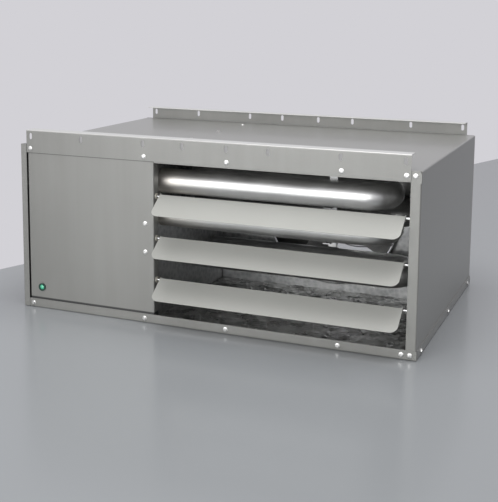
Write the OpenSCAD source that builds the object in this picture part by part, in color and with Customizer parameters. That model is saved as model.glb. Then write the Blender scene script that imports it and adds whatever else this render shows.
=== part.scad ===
// Low-profile gas unit heater with adjustable discharge louvres.
// Lengths are in millimetres. Each part is drawn from the casing's front left bottom corner,
// x to the right, y to the back and z up, and placed() then centres it over the base.

/* [Casing] */
// Width of the casing without its access door
casing_w = 740; // [700:10:840]
// Depth of the casing from front to back
casing_d = 500; // [480:5:560]
// Height of the casing
casing_h = 311; // [305:1:340]
// Thickness of the casing's sheet steel
sheet_t = 1.2; // [0.8:0.1:1.5]
// Inside radius of each bend in the sheet
bend_r = 1.2; // [0.6:0.1:2]
// Height of the bottom pan's upturned flanges
pan_lip = 16.8; // [14:0.2:20]
// Width of the control bay, up to the discharge opening
bay_w = 264; // [250:1:280]
// Width of the post at the right of the discharge opening
post_w = 18.4; // [16:0.2:24]
// Depth of the folded returns at the sides of the discharge opening
return_d = 17.7; // [17:0.1:22]
// Height of the folded head above the discharge opening
head_h = 18.6; // [17:0.2:24]
// Gap between two sheet edges that meet
seam_gap = 0.4; // [0.2:0.1:0.8]

/* [Hanging flanges] */
// Length of each hanging flange
flange_w = 722; // [640:1:740]
// Height of the flange above the casing
flange_up = 26; // [22:1:40]
// Reach of the flange down the casing's face
flange_down = 16; // [12:1:18]
// Depth of the flange's top lip
flange_lip = 25; // [15:1:30]
// Width of each hanger slot
slot_w = 6; // [4:0.5:9]
// Height of each hanger slot
slot_h = 12; // [9:0.5:16]
// Distance from the flange's top down to the middle of the slots
slot_drop = 11.5; // [9:0.5:14]

/* [Louvres] */
// Distance between two louvre pivots
louvre_pitch = 76; // [66:1:84]
// Width of a louvre blade from its pivot edge to its free edge
louvre_chord = 50; // [40:1:56]
// Thickness of a louvre blade
louvre_t = 1; // [0.8:0.1:1.5]
// Slope of the blades below level at rest
louvre_slope = 36.5; // [10:0.5:60]
// Depth of the stiffening lip along the pivot edge
louvre_lip = 6; // [4:0.5:7]
// Radius of the blade's free corners
louvre_corner = 13; // [4:1:18]
// Gap between a blade's end and the side of the opening
louvre_end_gap = 8.3; // [7:0.1:12]
// Diameter of the louvre pivot pins
pivot_pin_d = 5; // [4:0.5:6]

/* [Access door] */
// Depth of the door pan
door_t = 13.5; // [12:0.5:16]
// Gap between the door and the casing
door_gap = 0.8; // [0.5:0.1:1.5]
// Height of each door hinge
hinge_h = 50; // [36:1:70]
// Outer diameter of the hinge knuckles
knuckle_d = 7.2; // [6.4:0.1:7.4]
// Diameter of the hinge pins
hinge_pin_d = 3.8; // [3:0.1:4.4]
// Diameter of the latch studs
latch_d = 6; // [5:0.5:7]

/* [Heat exchanger] */
// Outside diameter of the exchanger tubes
tube_d = 44.4; // [38:0.2:46]
// Wall of the exchanger tubes
tube_wall = 1.2; // [0.8:0.1:2]
// Distance between two passes of a tube
pass_pitch = 76; // [72:1:80]
// Distance from the casing's front to the first pass
first_pass_y = 54; // [50:1:60]
// Height of the upper burner tube
upper_tube_z = 253; // [245:1:256]
// Height of the middle burner tube
middle_tube_z = 192; // [182:1:196]
// Height of the lower return tube
lower_tube_z = 79; // [74:1:84]
// Width of the strap that carries the tubes
strap_w = 14; // [10:1:20]

/* [Fan] */
// Radius of the fan blades
fan_r = 126; // [100:1:126]
// Number of fan blades
fan_blades = 4; // [3:1:6]
// Clearance between the blade tips and the orifice
tip_gap = 5; // [3:0.5:6]
// Radius of the fan orifice's rolled inlet
orifice_roll = 8; // [5:0.5:9]
// Pitch angle of the blades
blade_pitch = 22; // [15:1:24]
// Diameter of the fan motor
motor_d = 84; // [70:1:96]
// Length of the fan motor
motor_len = 88; // [70:1:100]
// Diameter of the fan shaft
fan_shaft_d = 8; // [6:0.5:10]
// Diameter of the guard's wire
guard_wire = 3; // [2:0.5:4]

/* [Gas train] */
// Outside diameter of the gas pipe
gas_pipe_d = 21.3; // [17:0.1:22]
// Reach of the gas pipe behind the casing
gas_stub = 30; // [20:1:60]
// Length of an inshot burner
burner_len = 106; // [100:1:110]
// Outlet radius of an inshot burner
burner_r = 16; // [12:0.5:18]

/* [Venting] */
// Outside diameter of the vent collar
vent_d = 101; // [90:0.5:104]
// Reach of the vent collar behind the casing
vent_reach = 40; // [30:1:60]
// Radius of the draft inducer's housing
volute_r = 48; // [44:1:49]
// Radius of the draft inducer's wheel
inducer_wheel_r = 36; // [28:1:38]

/* [Screws] */
// Radius of a sheet screw's shank
screw_r = 2.1; // [1.8:0.1:2.4]
// Radius of a sheet screw's flanged head
screw_head_r = 4.4; // [3.8:0.1:5]
// Length of a sheet screw's shank
screw_len = 8; // [6:0.5:10]

/* [Hidden] */
$fn = 48;

// Overrun of a cut past the face it opens
cut = 1;
// Outer radius of a bend, and the flat beside it that a fold takes along
bend_out = bend_r + sheet_t;
fold_lap = 2 * bend_out;
// Radial clearance of a shaft in its bore, and of a screw in its hole
run_gap = 0.05;
screw_gap = 0.15;
// Clearance between a seated piece and its seat
seat_gap = 0.3;

// Faces of the casing: the outer layer is one sheet, and the panels lie inside it
in_x = sheet_t;
out_x = casing_w - sheet_t;
front_y = sheet_t;
back_y = casing_d - sheet_t;
floor_z = sheet_t;
roof_z = casing_h - sheet_t;
// Inner sheets stop short of the outer sheets' bends
skirt_z = bend_out;
eave_z = roof_z - bend_r - seam_gap;
side_in_x = casing_w - 2 * sheet_t;
opening_x1 = casing_w - post_w;
opening_w = opening_x1 - bay_w;
opening_top = casing_h - head_h;

// The partition stands a little inside the control bay
partition_set = 10;
partition_x = bay_w - partition_set;
partition_flange = 15;
partition_screw_x = partition_x - partition_flange / 2;
chamber_x = partition_x + sheet_t;
chamber_w = side_in_x - chamber_x;

// Screw rows, as shares of the lengths that they follow
flange_screw_shares = [0.011, 0.339, 0.559, 0.841, 0.990];
side_screw_shares = [0.066, 0.53, 0.938];
top_screw_shares = [0.12, 0.38, 0.64, 0.9];
panel_screw_shares = [0.42, 0.586];
post_screw_share = 0.6;
post_screw_x = casing_w - post_screw_share * post_w;
low_screw_z = pan_lip / 2;
high_screw_z = casing_h - flange_down / 2;
screw_flange_t = 0.8;
screw_head_h = 2.4;
screw_hex_share = 0.78;
screw_hole_r = screw_r + screw_gap;

// Hanger slots lie alike on both sides of each flange's middle
slot_shares = [0.4875, 0.3385, 0.1635, 0.0575];
flange_top = casing_h + flange_up;

// Louvre pivots
pivot_y = 11.5;
pivot_drop = 4;
pivot_zs = [for (k = [1, 0, -1]) casing_h / 2 + k * louvre_pitch];
louvre_x0 = bay_w + louvre_end_gap;
louvre_w = opening_w - 2 * louvre_end_gap;
ear_r = 5.5;
ear_run = 9;
bushing_wall = 1.4;
bushing_flange = 1.6;
bushing_flange_t = 1.2;
bushing_len = 4;
pin_head_r = 3.6;
pin_head_t = 1.2;
pin_past = 2;

// Door, hinges and latches
door_x0 = -door_t;
door_lift = 1;
door_h = casing_h - 2 * door_lift;
hinge_x = -door_gap / 2;
hinge_y = back_y + knuckle_d / 2 + seat_gap;
hinge_share = 0.2;
hinge_zs = [hinge_share * casing_h, (1 - hinge_share) * casing_h - hinge_h];
hinge_leaf_w = 20;
knuckle_gap = 0.3;
hinge_head_h = 1.5;
latch_y = 27;
latch_shares = [0.74, 0.26];
latch_head_r = 9;
latch_head_t = 2;
latch_bar = 15;
latch_bar_t = 3;
latch_washer_r = 5.5;
latch_slot_share = 0.7;
keeper_w = 32;
keeper_h = 28;
keeper_y = 6;
keeper_gap = 0.8;
keeper_slot_len_gap = 1.5;
keeper_slot_side_gap = 0.75;
keeper_stud_gap = 1;

// Pilot lamp
lamp_x = 27.3;
lamp_z = 40.4;
lamp_r = 5.9;
lamp_bezel_r = 7.4;
lamp_bezel_t = 2;
lamp_lens_r = 4.6;
lamp_len = 26;
lens_dome_share = 1.6;

// Tube passes
tube_r = tube_d / 2;
pass_ys = [for (k = [0:3]) first_pass_y + k * pass_pitch];
bend_centre_r = pass_pitch / 2;
tube_end_gap = 47.4;
tube_left_gap = 8;
tube_stub = 8;
tube_x0 = partition_x - tube_stub;
tube_x1 = side_in_x - tube_end_gap - tube_r - bend_centre_r;
tube_left_x = chamber_x + tube_left_gap + tube_r + bend_centre_r;
tube_fit = 0.2;
strap_x = 571;
strap_y = first_pass_y + tube_r + sheet_t;
strap_tail = 14;
strap_foot = 20;

// Insulation
pad_t = 5;
pad_margin = 1.2;

// Fan position: the blades turn in the orifice, behind the last pass
fan_x = chamber_x + chamber_w / 2;
fan_z = casing_h / 2;
orifice_r = fan_r + tip_gap;
orifice_throat = 5;
orifice_clear = 5;
orifice_y = pass_ys[3] + tube_r + orifice_clear + orifice_throat + orifice_roll;
orifice_flange = 15;
fan_set = 9;
fan_mid_y = orifice_y + fan_set;
fan_rest = 20;
hub_r = 12;
hub_len = 26;
spider_r = 34;
spider_t = 2.5;
blade_t = 1.6;
blade_camber_r = 170;
blade_root_w = 52;
blade_tip_w = 88;
blade_root_r = 22;
blade_lead_share = 0.7;
blade_tip_share = 0.94;
blade_trail_share = 0.6;
blade_belly_share = 1.3;
bracket_t = 2.5;
bracket_stand = 30;
bracket_y = orifice_y + bracket_stand;
bracket_h = 44;
bracket_margin = 12;
bracket_half = orifice_r + orifice_roll + bracket_margin;
bracket_foot = 16;
motor_boss_r = 19;
motor_bolt_x = 26;
motor_bolt_z = 15;
motor_edge = 8;
motor_slots = 12;
motor_slot_r = 17;
motor_slot_len = 12;
motor_slot_w = 3;
motor_slot_t = 3;
motor_cap_r = 12;
motor_cap_t = 3;
guard_rings = 8;
guard_spokes = 4;
guard_over = 4;
guard_r = orifice_r + guard_over;
guard_hub_r = 20;
guard_eye_r = 5;
guard_eye_out = 7;
guard_eye_t = 2;
guard_lift = 0.2;
guard_eye_angles = [45:90:315];

// Burners and gas train stand in the front of the control bay
burner_zs = [middle_tube_z, upper_tube_z];
burner_gap = 8;
burner_x0 = tube_x0 - burner_gap - burner_len;
burner_wall = 1.2;
burner_mouth_r = 14;
burner_throat_r = 9;
burner_collar_share = 0.27;
burner_collar_r = 19;
box_t = 1.2;
box_x0 = burner_x0 + burner_collar_share * burner_len;
box_margin = 6;
box_flange = 7;
manifold_set = 27;
manifold_x = burner_x0 - manifold_set;
manifold_r = gas_pipe_d / 2;
manifold_wall = 2.6;
manifold_over = 26;
manifold_top = upper_tube_z + manifold_over;
manifold_plate = 2;
manifold_plate_margin = 6;
manifold_foot = 12;
spud_r = 4;
spud_hex_r = 7;
spud_boss_r = 8;
spud_boss_len = 14;
spud_hex_len = 5;
spud_nose_len = 4;
valve_w = 56;
valve_d = 64;
valve_h = 82;
gas_pipe_z = 36;
pipe_thread_len = 20;
pipe_thread_drop = 0.25;
pipe_thread_r = manifold_r - pipe_thread_drop;
gas_elbow_r = 22;
valve_nipple = 8;
valve_z0 = gas_pipe_z + gas_elbow_r + valve_nipple;
valve_round_r = 8;
valve_boss = 4;
valve_boss_wall = 5;
thread_len = 10;
thread_gap = 4;
knob_r = 12;
knob_len = 14;
knob_pin_r = 4;
knob_skirt_r = 14.4;
knob_skirt_len = 5.6;
knob_grip = 4.2;
knob_pin_len = 11.2;
knob_y_share = 0.35;
knob_z_share = 0.28;
coil_r = 17;
coil_len = 26;
coil_margin = 1.2;
coil_cap_r = 12;
coil_cap_len = 3;
coil_z_share = 0.72;
tap_r = 4;
tap_len = 3;
tap_y_share = 0.2;
tap_z_shares = [0.66, 0.88];
plug_block = [8, 14, 24];

// Flue side, at the back of the control bay
collector_d = 50;
collector_margin = 3.8;
inlet_half = 26;
flue_x1 = partition_x - collector_d;
volute_w = 44;
volute_x0 = flue_x1 - volute_w;
volute_t = 1.5;
inlet_eye_r = 18;
chute_h = 40;
chute_past = 18;
chute_end_y = pass_ys[3] + chute_past;
inducer_y = pass_ys[2];
inducer_z = lower_tube_z;
inducer_wheel_gap = 10;
inducer_wheel_w = 22;
inducer_vane_t = 1.2;
inducer_vane_h = 10;
inducer_hub_r = 8;
inducer_shaft_in = 20;
inducer_motor_half = 28;
inducer_motor_len = 45;
inducer_stack_x = 9;
inducer_stack_len = 26;
inducer_round_r = 6;
inducer_bell_r = 19;
inducer_coil_over = 5;
inducer_coil_w = 20;
inducer_coil_past = 6;
inducer_shaft_r = 3;
inducer_vanes = 10;
vent_x = 150;
vent_z = 120;
vent_wall = 0.8;
vent_plate = 124;
vent_in = 24;
vent_screw_share = 0.42;
adapter_t = 1;
adapter_in = 6;
adapter_lip = 0.1;
adapter_end_y = back_y - vent_in + adapter_in;

// Controls
bracket_x = 120;
control_y0 = 150;
control_y1 = 450;
control_z0 = 170;
ignition_box = [22, 130, 90];
ignition_y = 300;
ignition_z = 190;
ignition_ear = 9;
ignition_ear_t = 3;
ignition_rim = 5;
ignition_cover_t = 6;
ignition_plugs = 5;
ignition_plug = [5, 12, 16];
ignition_plug_pitch = 19;
transformer_core = [20, 56, 46];
transformer_coil = [42, 32, 28];
transformer_y = 228;
transformer_z = 183;
transformer_foot_t = 2;
pressure_y = 188;
pressure_z = 228;
pressure_rim_r = 28;
pressure_rim_t = 4;
pressure_cap_r = 23;
pressure_cap_len = 20;
pressure_hub_r = 8;
pressure_hub_len = 5;
pressure_barb_r = 3;
pressure_barb_len = 11;

// Holes of the rear panel: gas pipe grommet, electrical knockout and combustion-air slots
grommet_wall = 3;
grommet_lip = 3;
grommet_t = 1.6;
knockout_d = 22.2;
knockout_x = 45;
knockout_z = 62;
air_slots = 10;
air_slot_x = 30;
air_slot_z = 136;
air_slot_w = 48;
air_slot_h = 5;
air_slot_pitch = 14;

module placed() translate([-casing_w / 2, -casing_d / 2, 0]) children();

// Sheet with one bend: the base runs along +x and the leg along +y
module fold_profile(lap, leg) {
    difference() {
        union() {
            translate([bend_out, 0]) square([lap - bend_out, sheet_t]);
            translate([0, bend_out]) square([sheet_t, leg - bend_out]);
            intersection() {
                translate([bend_out, bend_out]) circle(bend_out);
                square(bend_out);
            }
        }
        translate([bend_out, bend_out]) circle(bend_r);
    }
}

// Bends along each axis: base towards +y and leg up, base +x and leg up, base +x and leg +y
module fold_x(len, lap, leg) rotate([90, 0, 90]) linear_extrude(len) fold_profile(lap, leg);
module fold_y(len, lap, leg) mirror([1, -1, 0]) fold_x(len, lap, leg);
module fold_z(len, lap, leg) linear_extrude(len) fold_profile(lap, leg);

module flip_x(x) translate([x, 0, 0]) mirror([1, 0, 0]) children();
module flip_y(y) translate([0, y, 0]) mirror([0, 1, 0]) children();
module flip_z(z) translate([0, 0, z]) mirror([0, 0, 1]) children();

// Cylinders along x and along y, from the given point
module rod_x(r, len) rotate([0, 90, 0]) cylinder(r = r, h = len);
module rod_y(r, len) rotate([-90, 0, 0]) cylinder(r = r, h = len);

// Sheet screw along z, its head above zero
module screw() {
    translate([0, 0, -screw_len]) cylinder(r = screw_r, h = screw_len);
    cylinder(r = screw_head_r, h = screw_flange_t);
    translate([0, 0, screw_flange_t])
        cylinder(r = screw_head_r * screw_hex_share, h = screw_head_h - screw_flange_t, $fn = 6);
}

module screw_hole() translate([0, 0, -screw_len]) cylinder(r = screw_hole_r, h = 2 * screw_len);

// Places of the casing screws, with each screw's head outwards
module front_row(z, y) {
    for (s = flange_screw_shares)
        translate([s * flange_w, y, z]) rotate([90, 0, 0]) children();
}

module front_low() {
    front_row(low_screw_z, 0) children();
    translate([post_screw_x, 0, low_screw_z]) rotate([90, 0, 0]) children();
}

module front_high() {
    front_row(high_screw_z, 0) children();
}

module tab_place() translate([post_screw_x, front_y, high_screw_z]) rotate([90, 0, 0]) children();

module panel_places() {
    for (s = panel_screw_shares)
        translate([partition_screw_x, front_y, s * casing_h]) rotate([90, 0, 0]) children();
}

module rear_low() {
    for (s = flange_screw_shares)
        translate([s * flange_w, casing_d, low_screw_z]) rotate([-90, 0, 0]) children();
}

module rear_high() {
    for (s = flange_screw_shares)
        translate([s * flange_w, casing_d, high_screw_z]) rotate([-90, 0, 0]) children();
}

module side_low() {
    for (s = side_screw_shares)
        translate([casing_w, s * casing_d, low_screw_z]) rotate([0, 90, 0]) children();
}

module top_places() {
    for (s = top_screw_shares)
        translate([partition_screw_x, s * casing_d, casing_h]) children();
}

// Fan guard eyes, on the diagonals of the rear opening
module guard_eye(a) {
    translate([fan_x, back_y, fan_z]) rotate([0, a, 0])
        translate([guard_r + guard_eye_out, 0, 0]) rotate([-90, 0, 0]) children();
}

module guard_places() {
    for (a = guard_eye_angles) guard_eye(a) children();
}

module vent_places() {
    for (i = [-1, 1], k = [-1, 1])
        translate([vent_x + i * vent_plate * vent_screw_share, back_y + sheet_t,
            vent_z + k * vent_plate * vent_screw_share]) rotate([-90, 0, 0]) children();
}

module jacket() {
    color("#8f8f88") placed() difference() {
        union() {
            translate([in_x + bend_out, 2 * sheet_t, roof_z])
                cube([out_x - in_x - 2 * bend_out, casing_d - 4 * sheet_t, sheet_t]);
            translate([in_x, return_d + seam_gap, casing_h]) mirror([0, 0, 1])
                fold_y(casing_d - 2 * (return_d + seam_gap), fold_lap, return_d);
            translate([bay_w + seam_gap, front_y, casing_h]) mirror([0, 0, 1])
                fold_x(opening_w - 2 * seam_gap, fold_lap, head_h);
            flip_x(out_x) translate([0, front_y + bend_out + seam_gap, casing_h]) mirror([0, 0, 1])
                fold_y(back_y - front_y - bend_out - seam_gap - sheet_t, fold_lap, casing_h - skirt_z);
            translate([side_in_x, back_y - sheet_t - cut, skirt_z])
                cube([sheet_t, sheet_t + cut, casing_h - skirt_z - bend_out]);
            flip_x(out_x) translate([0, front_y, skirt_z])
                fold_z(opening_top - skirt_z, post_w - sheet_t, fold_lap);
            translate([opening_x1, front_y, skirt_z])
                fold_z(opening_top - skirt_z, fold_lap, return_d - front_y);
            post_tab();
        }
        front_high() screw_hole();
        front_low() screw_hole();
        side_low() screw_hole();
        top_places() screw_hole();
        tab_place() screw_hole();
        translate([opening_x1 - cut, 0, 0]) louvre_holes(cut + 2 * sheet_t);
    }
}

// The post's rounded tab stands in front of a lug on the folded head
module post_tab() {
    tab_r = 6;
    lug = 16;
    tab_w = post_w - sheet_t;
    translate([opening_x1, front_y, opening_top - cut]) cube([tab_w, sheet_t, head_h + cut - tab_r]);
    translate([opening_x1, front_y, opening_top]) cube([tab_w - tab_r, sheet_t, head_h]);
    translate([opening_x1 + tab_w - tab_r, front_y, casing_h - tab_r]) rod_y(tab_r, sheet_t);
    translate([opening_x1 - lug, 2 * sheet_t, opening_top])
        cube([lug + tab_w - 2 * sheet_t, sheet_t, head_h - sheet_t]);
}

module louvre_holes(len) {
    for (z = pivot_zs)
        translate([0, pivot_y, z]) rod_x(pivot_pin_d / 2 + run_gap + bushing_wall + run_gap, len);
}

module bottom_pan() {
    color("#82827c") placed() difference() {
        union() {
            translate([bend_out, bend_out, 0])
                cube([casing_w - 2 * bend_out, casing_d - 2 * bend_out, sheet_t]);
            fold_x(casing_w, fold_lap, pan_lip);
            flip_y(casing_d) fold_x(casing_w, fold_lap, pan_lip);
            translate([0, fold_lap, 0]) fold_y(casing_d - 2 * fold_lap, fold_lap, pan_lip);
            flip_x(casing_w) translate([0, fold_lap, 0])
                fold_y(casing_d - 2 * fold_lap, fold_lap, pan_lip);
        }
        front_low() screw_hole();
        rear_low() screw_hole();
        side_low() screw_hole();
    }
}

module front_panel() {
    fold_h = eave_z - skirt_z;
    color("#8a8a84") placed() difference() {
        union() {
            translate([in_x + bend_out, front_y, skirt_z])
                cube([bay_w - in_x - 2 * bend_out, sheet_t, casing_h - skirt_z]);
            translate([in_x, front_y, skirt_z]) fold_z(fold_h, fold_lap, return_d - front_y);
            flip_x(bay_w) translate([0, front_y, skirt_z])
                fold_z(fold_h, fold_lap, return_d - front_y);
        }
        front_high() screw_hole();
        front_low() screw_hole();
        panel_places() screw_hole();
        translate([bay_w - 2 * sheet_t, 0, 0]) louvre_holes(2 * sheet_t + cut);
        translate([lamp_x, 0, lamp_z]) rod_y(lamp_r + run_gap, return_d);
    }
}

module rear_panel() {
    fold_h = eave_z - skirt_z;
    color("#84847e") placed() difference() {
        union() {
            translate([in_x + bend_out, back_y - sheet_t, skirt_z])
                cube([side_in_x - in_x - 2 * bend_out, sheet_t, casing_h - skirt_z]);
            flip_y(back_y) translate([in_x, 0, skirt_z]) fold_z(fold_h, fold_lap, return_d - front_y);
            flip_y(back_y) flip_x(side_in_x) translate([0, 0, skirt_z])
                fold_z(fold_h, fold_lap, return_d - front_y);
        }
        rear_high() screw_hole();
        rear_low() screw_hole();
        guard_places() screw_hole();
        vent_places() screw_hole();
        translate([fan_x, back_y - sheet_t - cut, fan_z]) rod_y(orifice_r, sheet_t + 2 * cut);
        translate([vent_x, back_y - sheet_t - cut, vent_z])
            rod_y(vent_d / 2 + seat_gap, sheet_t + 2 * cut);
        translate([manifold_x, back_y - sheet_t - cut, gas_pipe_z])
            rod_y(gas_pipe_d / 2 + grommet_wall, sheet_t + 2 * cut);
        translate([knockout_x, back_y - sheet_t - cut, knockout_z])
            rod_y(knockout_d / 2, sheet_t + 2 * cut);
        for (k = [0:air_slots - 1]) translate([air_slot_x, 0, air_slot_z + k * air_slot_pitch]) air_slot();
    }
}

// Level slot with round ends through the rear panel
module air_slot() {
    flat = air_slot_w - air_slot_h;
    translate([0, back_y - sheet_t - cut, 0]) {
        for (x = [0, flat]) translate([x + air_slot_h / 2, 0, 0]) rod_y(air_slot_h / 2, sheet_t + 2 * cut);
        translate([air_slot_h / 2, 0, -air_slot_h / 2]) cube([flat, sheet_t + 2 * cut, air_slot_h]);
    }
}

// Angle behind the pan's front flange, below the discharge opening
module lower_rail() {
    color("#7c7c76") placed() difference() {
        translate([bay_w + seam_gap, front_y, floor_z])
            fold_x(opening_w - 2 * seam_gap, partition_flange, pan_lip - floor_z);
        front_low() screw_hole();
    }
}

module partition() {
    edge = return_d + seam_gap;
    high = roof_z - floor_z;
    span = casing_d - 4 * sheet_t;
    color("#767672") placed() difference() {
        union() {
            translate([partition_x, 2 * sheet_t + bend_out, floor_z + bend_out])
                cube([sheet_t, span - 2 * bend_out, high - 2 * bend_out]);
            flip_x(chamber_x) translate([0, edge, floor_z])
                fold_y(casing_d - 2 * edge, partition_flange, fold_lap);
            flip_x(chamber_x) flip_z(roof_z) translate([0, edge, 0])
                fold_y(casing_d - 2 * edge, partition_flange, fold_lap);
            flip_x(chamber_x) translate([0, 2 * sheet_t, edge])
                fold_z(casing_h - 2 * edge, partition_flange, fold_lap);
            flip_y(casing_d) flip_x(chamber_x) translate([0, 2 * sheet_t, edge])
                fold_z(casing_h - 2 * edge, partition_flange, fold_lap);
        }
        top_places() screw_hole();
        panel_places() screw_hole();
        for (y = [pass_ys[0], pass_ys[3]], z = burner_zs)
            translate([partition_x - cut, y, z]) rod_x(tube_r + tube_fit, sheet_t + 2 * cut);
        for (y = [pass_ys[2], pass_ys[3]])
            translate([partition_x - cut, y, lower_tube_z]) rod_x(tube_r + tube_fit, sheet_t + 2 * cut);
        translate([partition_x - cut, limit_y, limit_z]) rod_x(limit_r + seat_gap, sheet_t + 2 * cut);
    }
}

// Hanging flange: a web with slots, and a lip folded back along its top
module hanging_flange() {
    high = flange_up + flange_down;
    difference() {
        flip_z(flange_top) fold_x(flange_w, flange_lip, high);
        for (s = slot_shares, side = [-1, 1])
            translate([(0.5 + side * s) * flange_w, 0, flange_top - slot_drop]) slot_cut();
    }
}

module slot_cut() {
    reach = sheet_t + 2 * cut;
    flat = slot_h - slot_w;
    for (k = [-1, 1]) translate([0, -cut, k * flat / 2]) rod_y(slot_w / 2, reach);
    translate([-slot_w / 2, -cut, -flat / 2]) cube([slot_w, reach, flat]);
}

module front_hanging_flange() {
    color("#9a9a92") placed() difference() {
        hanging_flange();
        front_high() screw_hole();
    }
}

module rear_hanging_flange() {
    color("#9a9a92") placed() difference() {
        flip_y(casing_d) hanging_flange();
        rear_high() screw_hole();
    }
}

module casing_screws() {
    color("#d4d4d0") placed() {
        front_high() screw();
        front_low() screw();
        rear_high() screw();
        rear_low() screw();
        side_low() screw();
        top_places() screw();
        panel_places() screw();
        tab_place() screw();
        guard_places() translate([0, 0, guard_eye_t]) screw();
        vent_places() screw();
    }
}

// Louvre blade, drawn from its pivot with the chord along +x, its face up, and its width along y
module louvre_sheet() {
    flat = louvre_chord - louvre_corner;
    translate([0, 0, pivot_drop]) {
        cube([flat, louvre_w, louvre_t]);
        translate([0, louvre_corner, 0]) cube([louvre_chord, louvre_w - 2 * louvre_corner, louvre_t]);
        for (y = [louvre_corner, louvre_w - louvre_corner])
            translate([flat, y, 0]) cylinder(r = louvre_corner, h = louvre_t);
        translate([0, ear_run, louvre_t - louvre_lip])
            cube([louvre_t, louvre_w - 2 * ear_run, louvre_lip]);
    }
}

module louvre_ear() {
    reach = pivot_drop + louvre_t;
    difference() {
        union() {
            rotate([-90, 0, 0]) cylinder(r = ear_r, h = louvre_t);
            cube([ear_run, louvre_t, reach]);
        }
        translate([-ear_r - cut, -cut, reach]) cube([2 * ear_r + ear_run, louvre_t + 2 * cut, ear_r]);
        translate([0, -cut, 0]) rotate([-90, 0, 0])
            cylinder(r = pivot_pin_d / 2 + run_gap, h = louvre_t + 2 * cut);
    }
}

// Turns the blade's own axes into the casing's, at the pivot's height z
module at_pivot(z) {
    translate([louvre_x0, pivot_y, z]) rotate([louvre_slope, 0, 0])
        mirror([0, 1, 0]) mirror([1, -1, 0]) children();
}

module louvre(z) {
    color("#96978f") placed() at_pivot(z) {
        louvre_sheet();
        louvre_ear();
        translate([0, louvre_w - louvre_t, 0]) louvre_ear();
    }
}

module louvre_upper() louvre(pivot_zs[0]);
module louvre_middle() louvre(pivot_zs[1]);
module louvre_lower() louvre(pivot_zs[2]);

// Pivot pins: a head inside the ear and a shank out through the bushing
module louvre_pins(z) {
    reach = louvre_end_gap + louvre_t + sheet_t + bushing_len + pin_past;
    color("#c9c9c4") placed() translate([0, pivot_y, z]) for (end = [0, 1])
        translate([end * (2 * louvre_x0 + louvre_w), 0, 0]) mirror([end, 0, 0]) {
            translate([louvre_x0 + louvre_t - reach, 0, 0]) rod_x(pivot_pin_d / 2, reach);
            translate([louvre_x0 + louvre_t, 0, 0]) rod_x(pin_head_r, pin_head_t);
        }
}

module louvre_upper_pins() louvre_pins(pivot_zs[0]);
module louvre_middle_pins() louvre_pins(pivot_zs[1]);
module louvre_lower_pins() louvre_pins(pivot_zs[2]);

module louvre_bushings() {
    bore = pivot_pin_d / 2 + run_gap;
    color("#c8c4b4") placed() for (z = pivot_zs, end = [0, 1])
        translate([end * (bay_w + opening_x1), pivot_y, z]) mirror([end, 0, 0])
            translate([bay_w, 0, 0]) difference() {
                union() {
                    rod_x(bore + bushing_wall + bushing_flange, bushing_flange_t);
                    translate([-sheet_t - bushing_len, 0, 0])
                        rod_x(bore + bushing_wall, sheet_t + bushing_len);
                }
                translate([-sheet_t - bushing_len - cut, 0, 0])
                    rod_x(bore, sheet_t + bushing_len + bushing_flange_t + 2 * cut);
            }
}

// Door pan, open towards the casing, with its flanges folded inwards
module access_door() {
    deep = door_t - door_gap;
    long = back_y;
    color("#878781") placed() difference() {
        translate([door_x0, 0, door_lift]) {
            translate([0, bend_out, bend_out])
                cube([sheet_t, long - 2 * bend_out, door_h - 2 * bend_out]);
            mirror([1, -1, 0]) fold_z(door_h, fold_lap, deep);
            flip_y(long) mirror([1, -1, 0]) fold_z(door_h, fold_lap, deep);
            translate([0, fold_lap, 0]) fold_y(long - 2 * fold_lap, deep, fold_lap);
            flip_z(door_h) translate([0, fold_lap, 0]) fold_y(long - 2 * fold_lap, deep, fold_lap);
        }
        for (s = latch_shares)
            translate([door_x0 - cut, latch_y, s * casing_h])
                rod_x(latch_d / 2 + run_gap, sheet_t + 2 * cut);
    }
}

// Knuckles stand in three equal lengths: the door has the middle one
knuckle_h = (hinge_h - 2 * knuckle_gap) / 3;
knuckle_step = knuckle_h + knuckle_gap;

module knuckle(z) {
    translate([hinge_x, hinge_y, z]) difference() {
        cylinder(r = knuckle_d / 2, h = knuckle_h);
        translate([0, 0, -cut]) cylinder(r = hinge_pin_d / 2 + run_gap, h = knuckle_h + 2 * cut);
    }
}

module knuckle_bore(z) {
    translate([hinge_x, hinge_y, z - cut])
        cylinder(r = hinge_pin_d / 2 + run_gap, h = knuckle_h + 2 * cut);
}

module door_hinge_leaves() {
    leaf = door_t - knuckle_d;
    color("#b8b8b2") placed() for (z = hinge_zs) difference() {
        union() {
            translate([door_x0 + sheet_t, back_y, z]) cube([leaf, sheet_t, hinge_h]);
            translate([door_x0 + sheet_t, back_y, z + knuckle_step])
                cube([hinge_x - door_x0 - sheet_t, sheet_t, knuckle_h]);
            knuckle(z + knuckle_step);
        }
        knuckle_bore(z + knuckle_step);
    }
}

module casing_hinge_leaves() {
    color("#b8b8b2") placed() for (z = hinge_zs) difference() {
        union() {
            translate([knuckle_d, back_y, z]) cube([hinge_leaf_w - knuckle_d, sheet_t, hinge_h]);
            for (k = [0, 2]) translate([0, 0, z + k * knuckle_step]) {
                translate([hinge_x, back_y, 0]) cube([hinge_leaf_w - hinge_x, sheet_t, knuckle_h]);
                knuckle(0);
            }
        }
        for (k = [0, 2]) knuckle_bore(z + k * knuckle_step);
    }
}

module hinge_pins() {
    color("#c9c9c4") placed() for (z = hinge_zs) translate([hinge_x, hinge_y, z]) {
        cylinder(r = hinge_pin_d / 2, h = hinge_h);
        translate([0, 0, hinge_h]) cylinder(r = knuckle_d / 2, h = hinge_head_h);
    }
}

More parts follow.
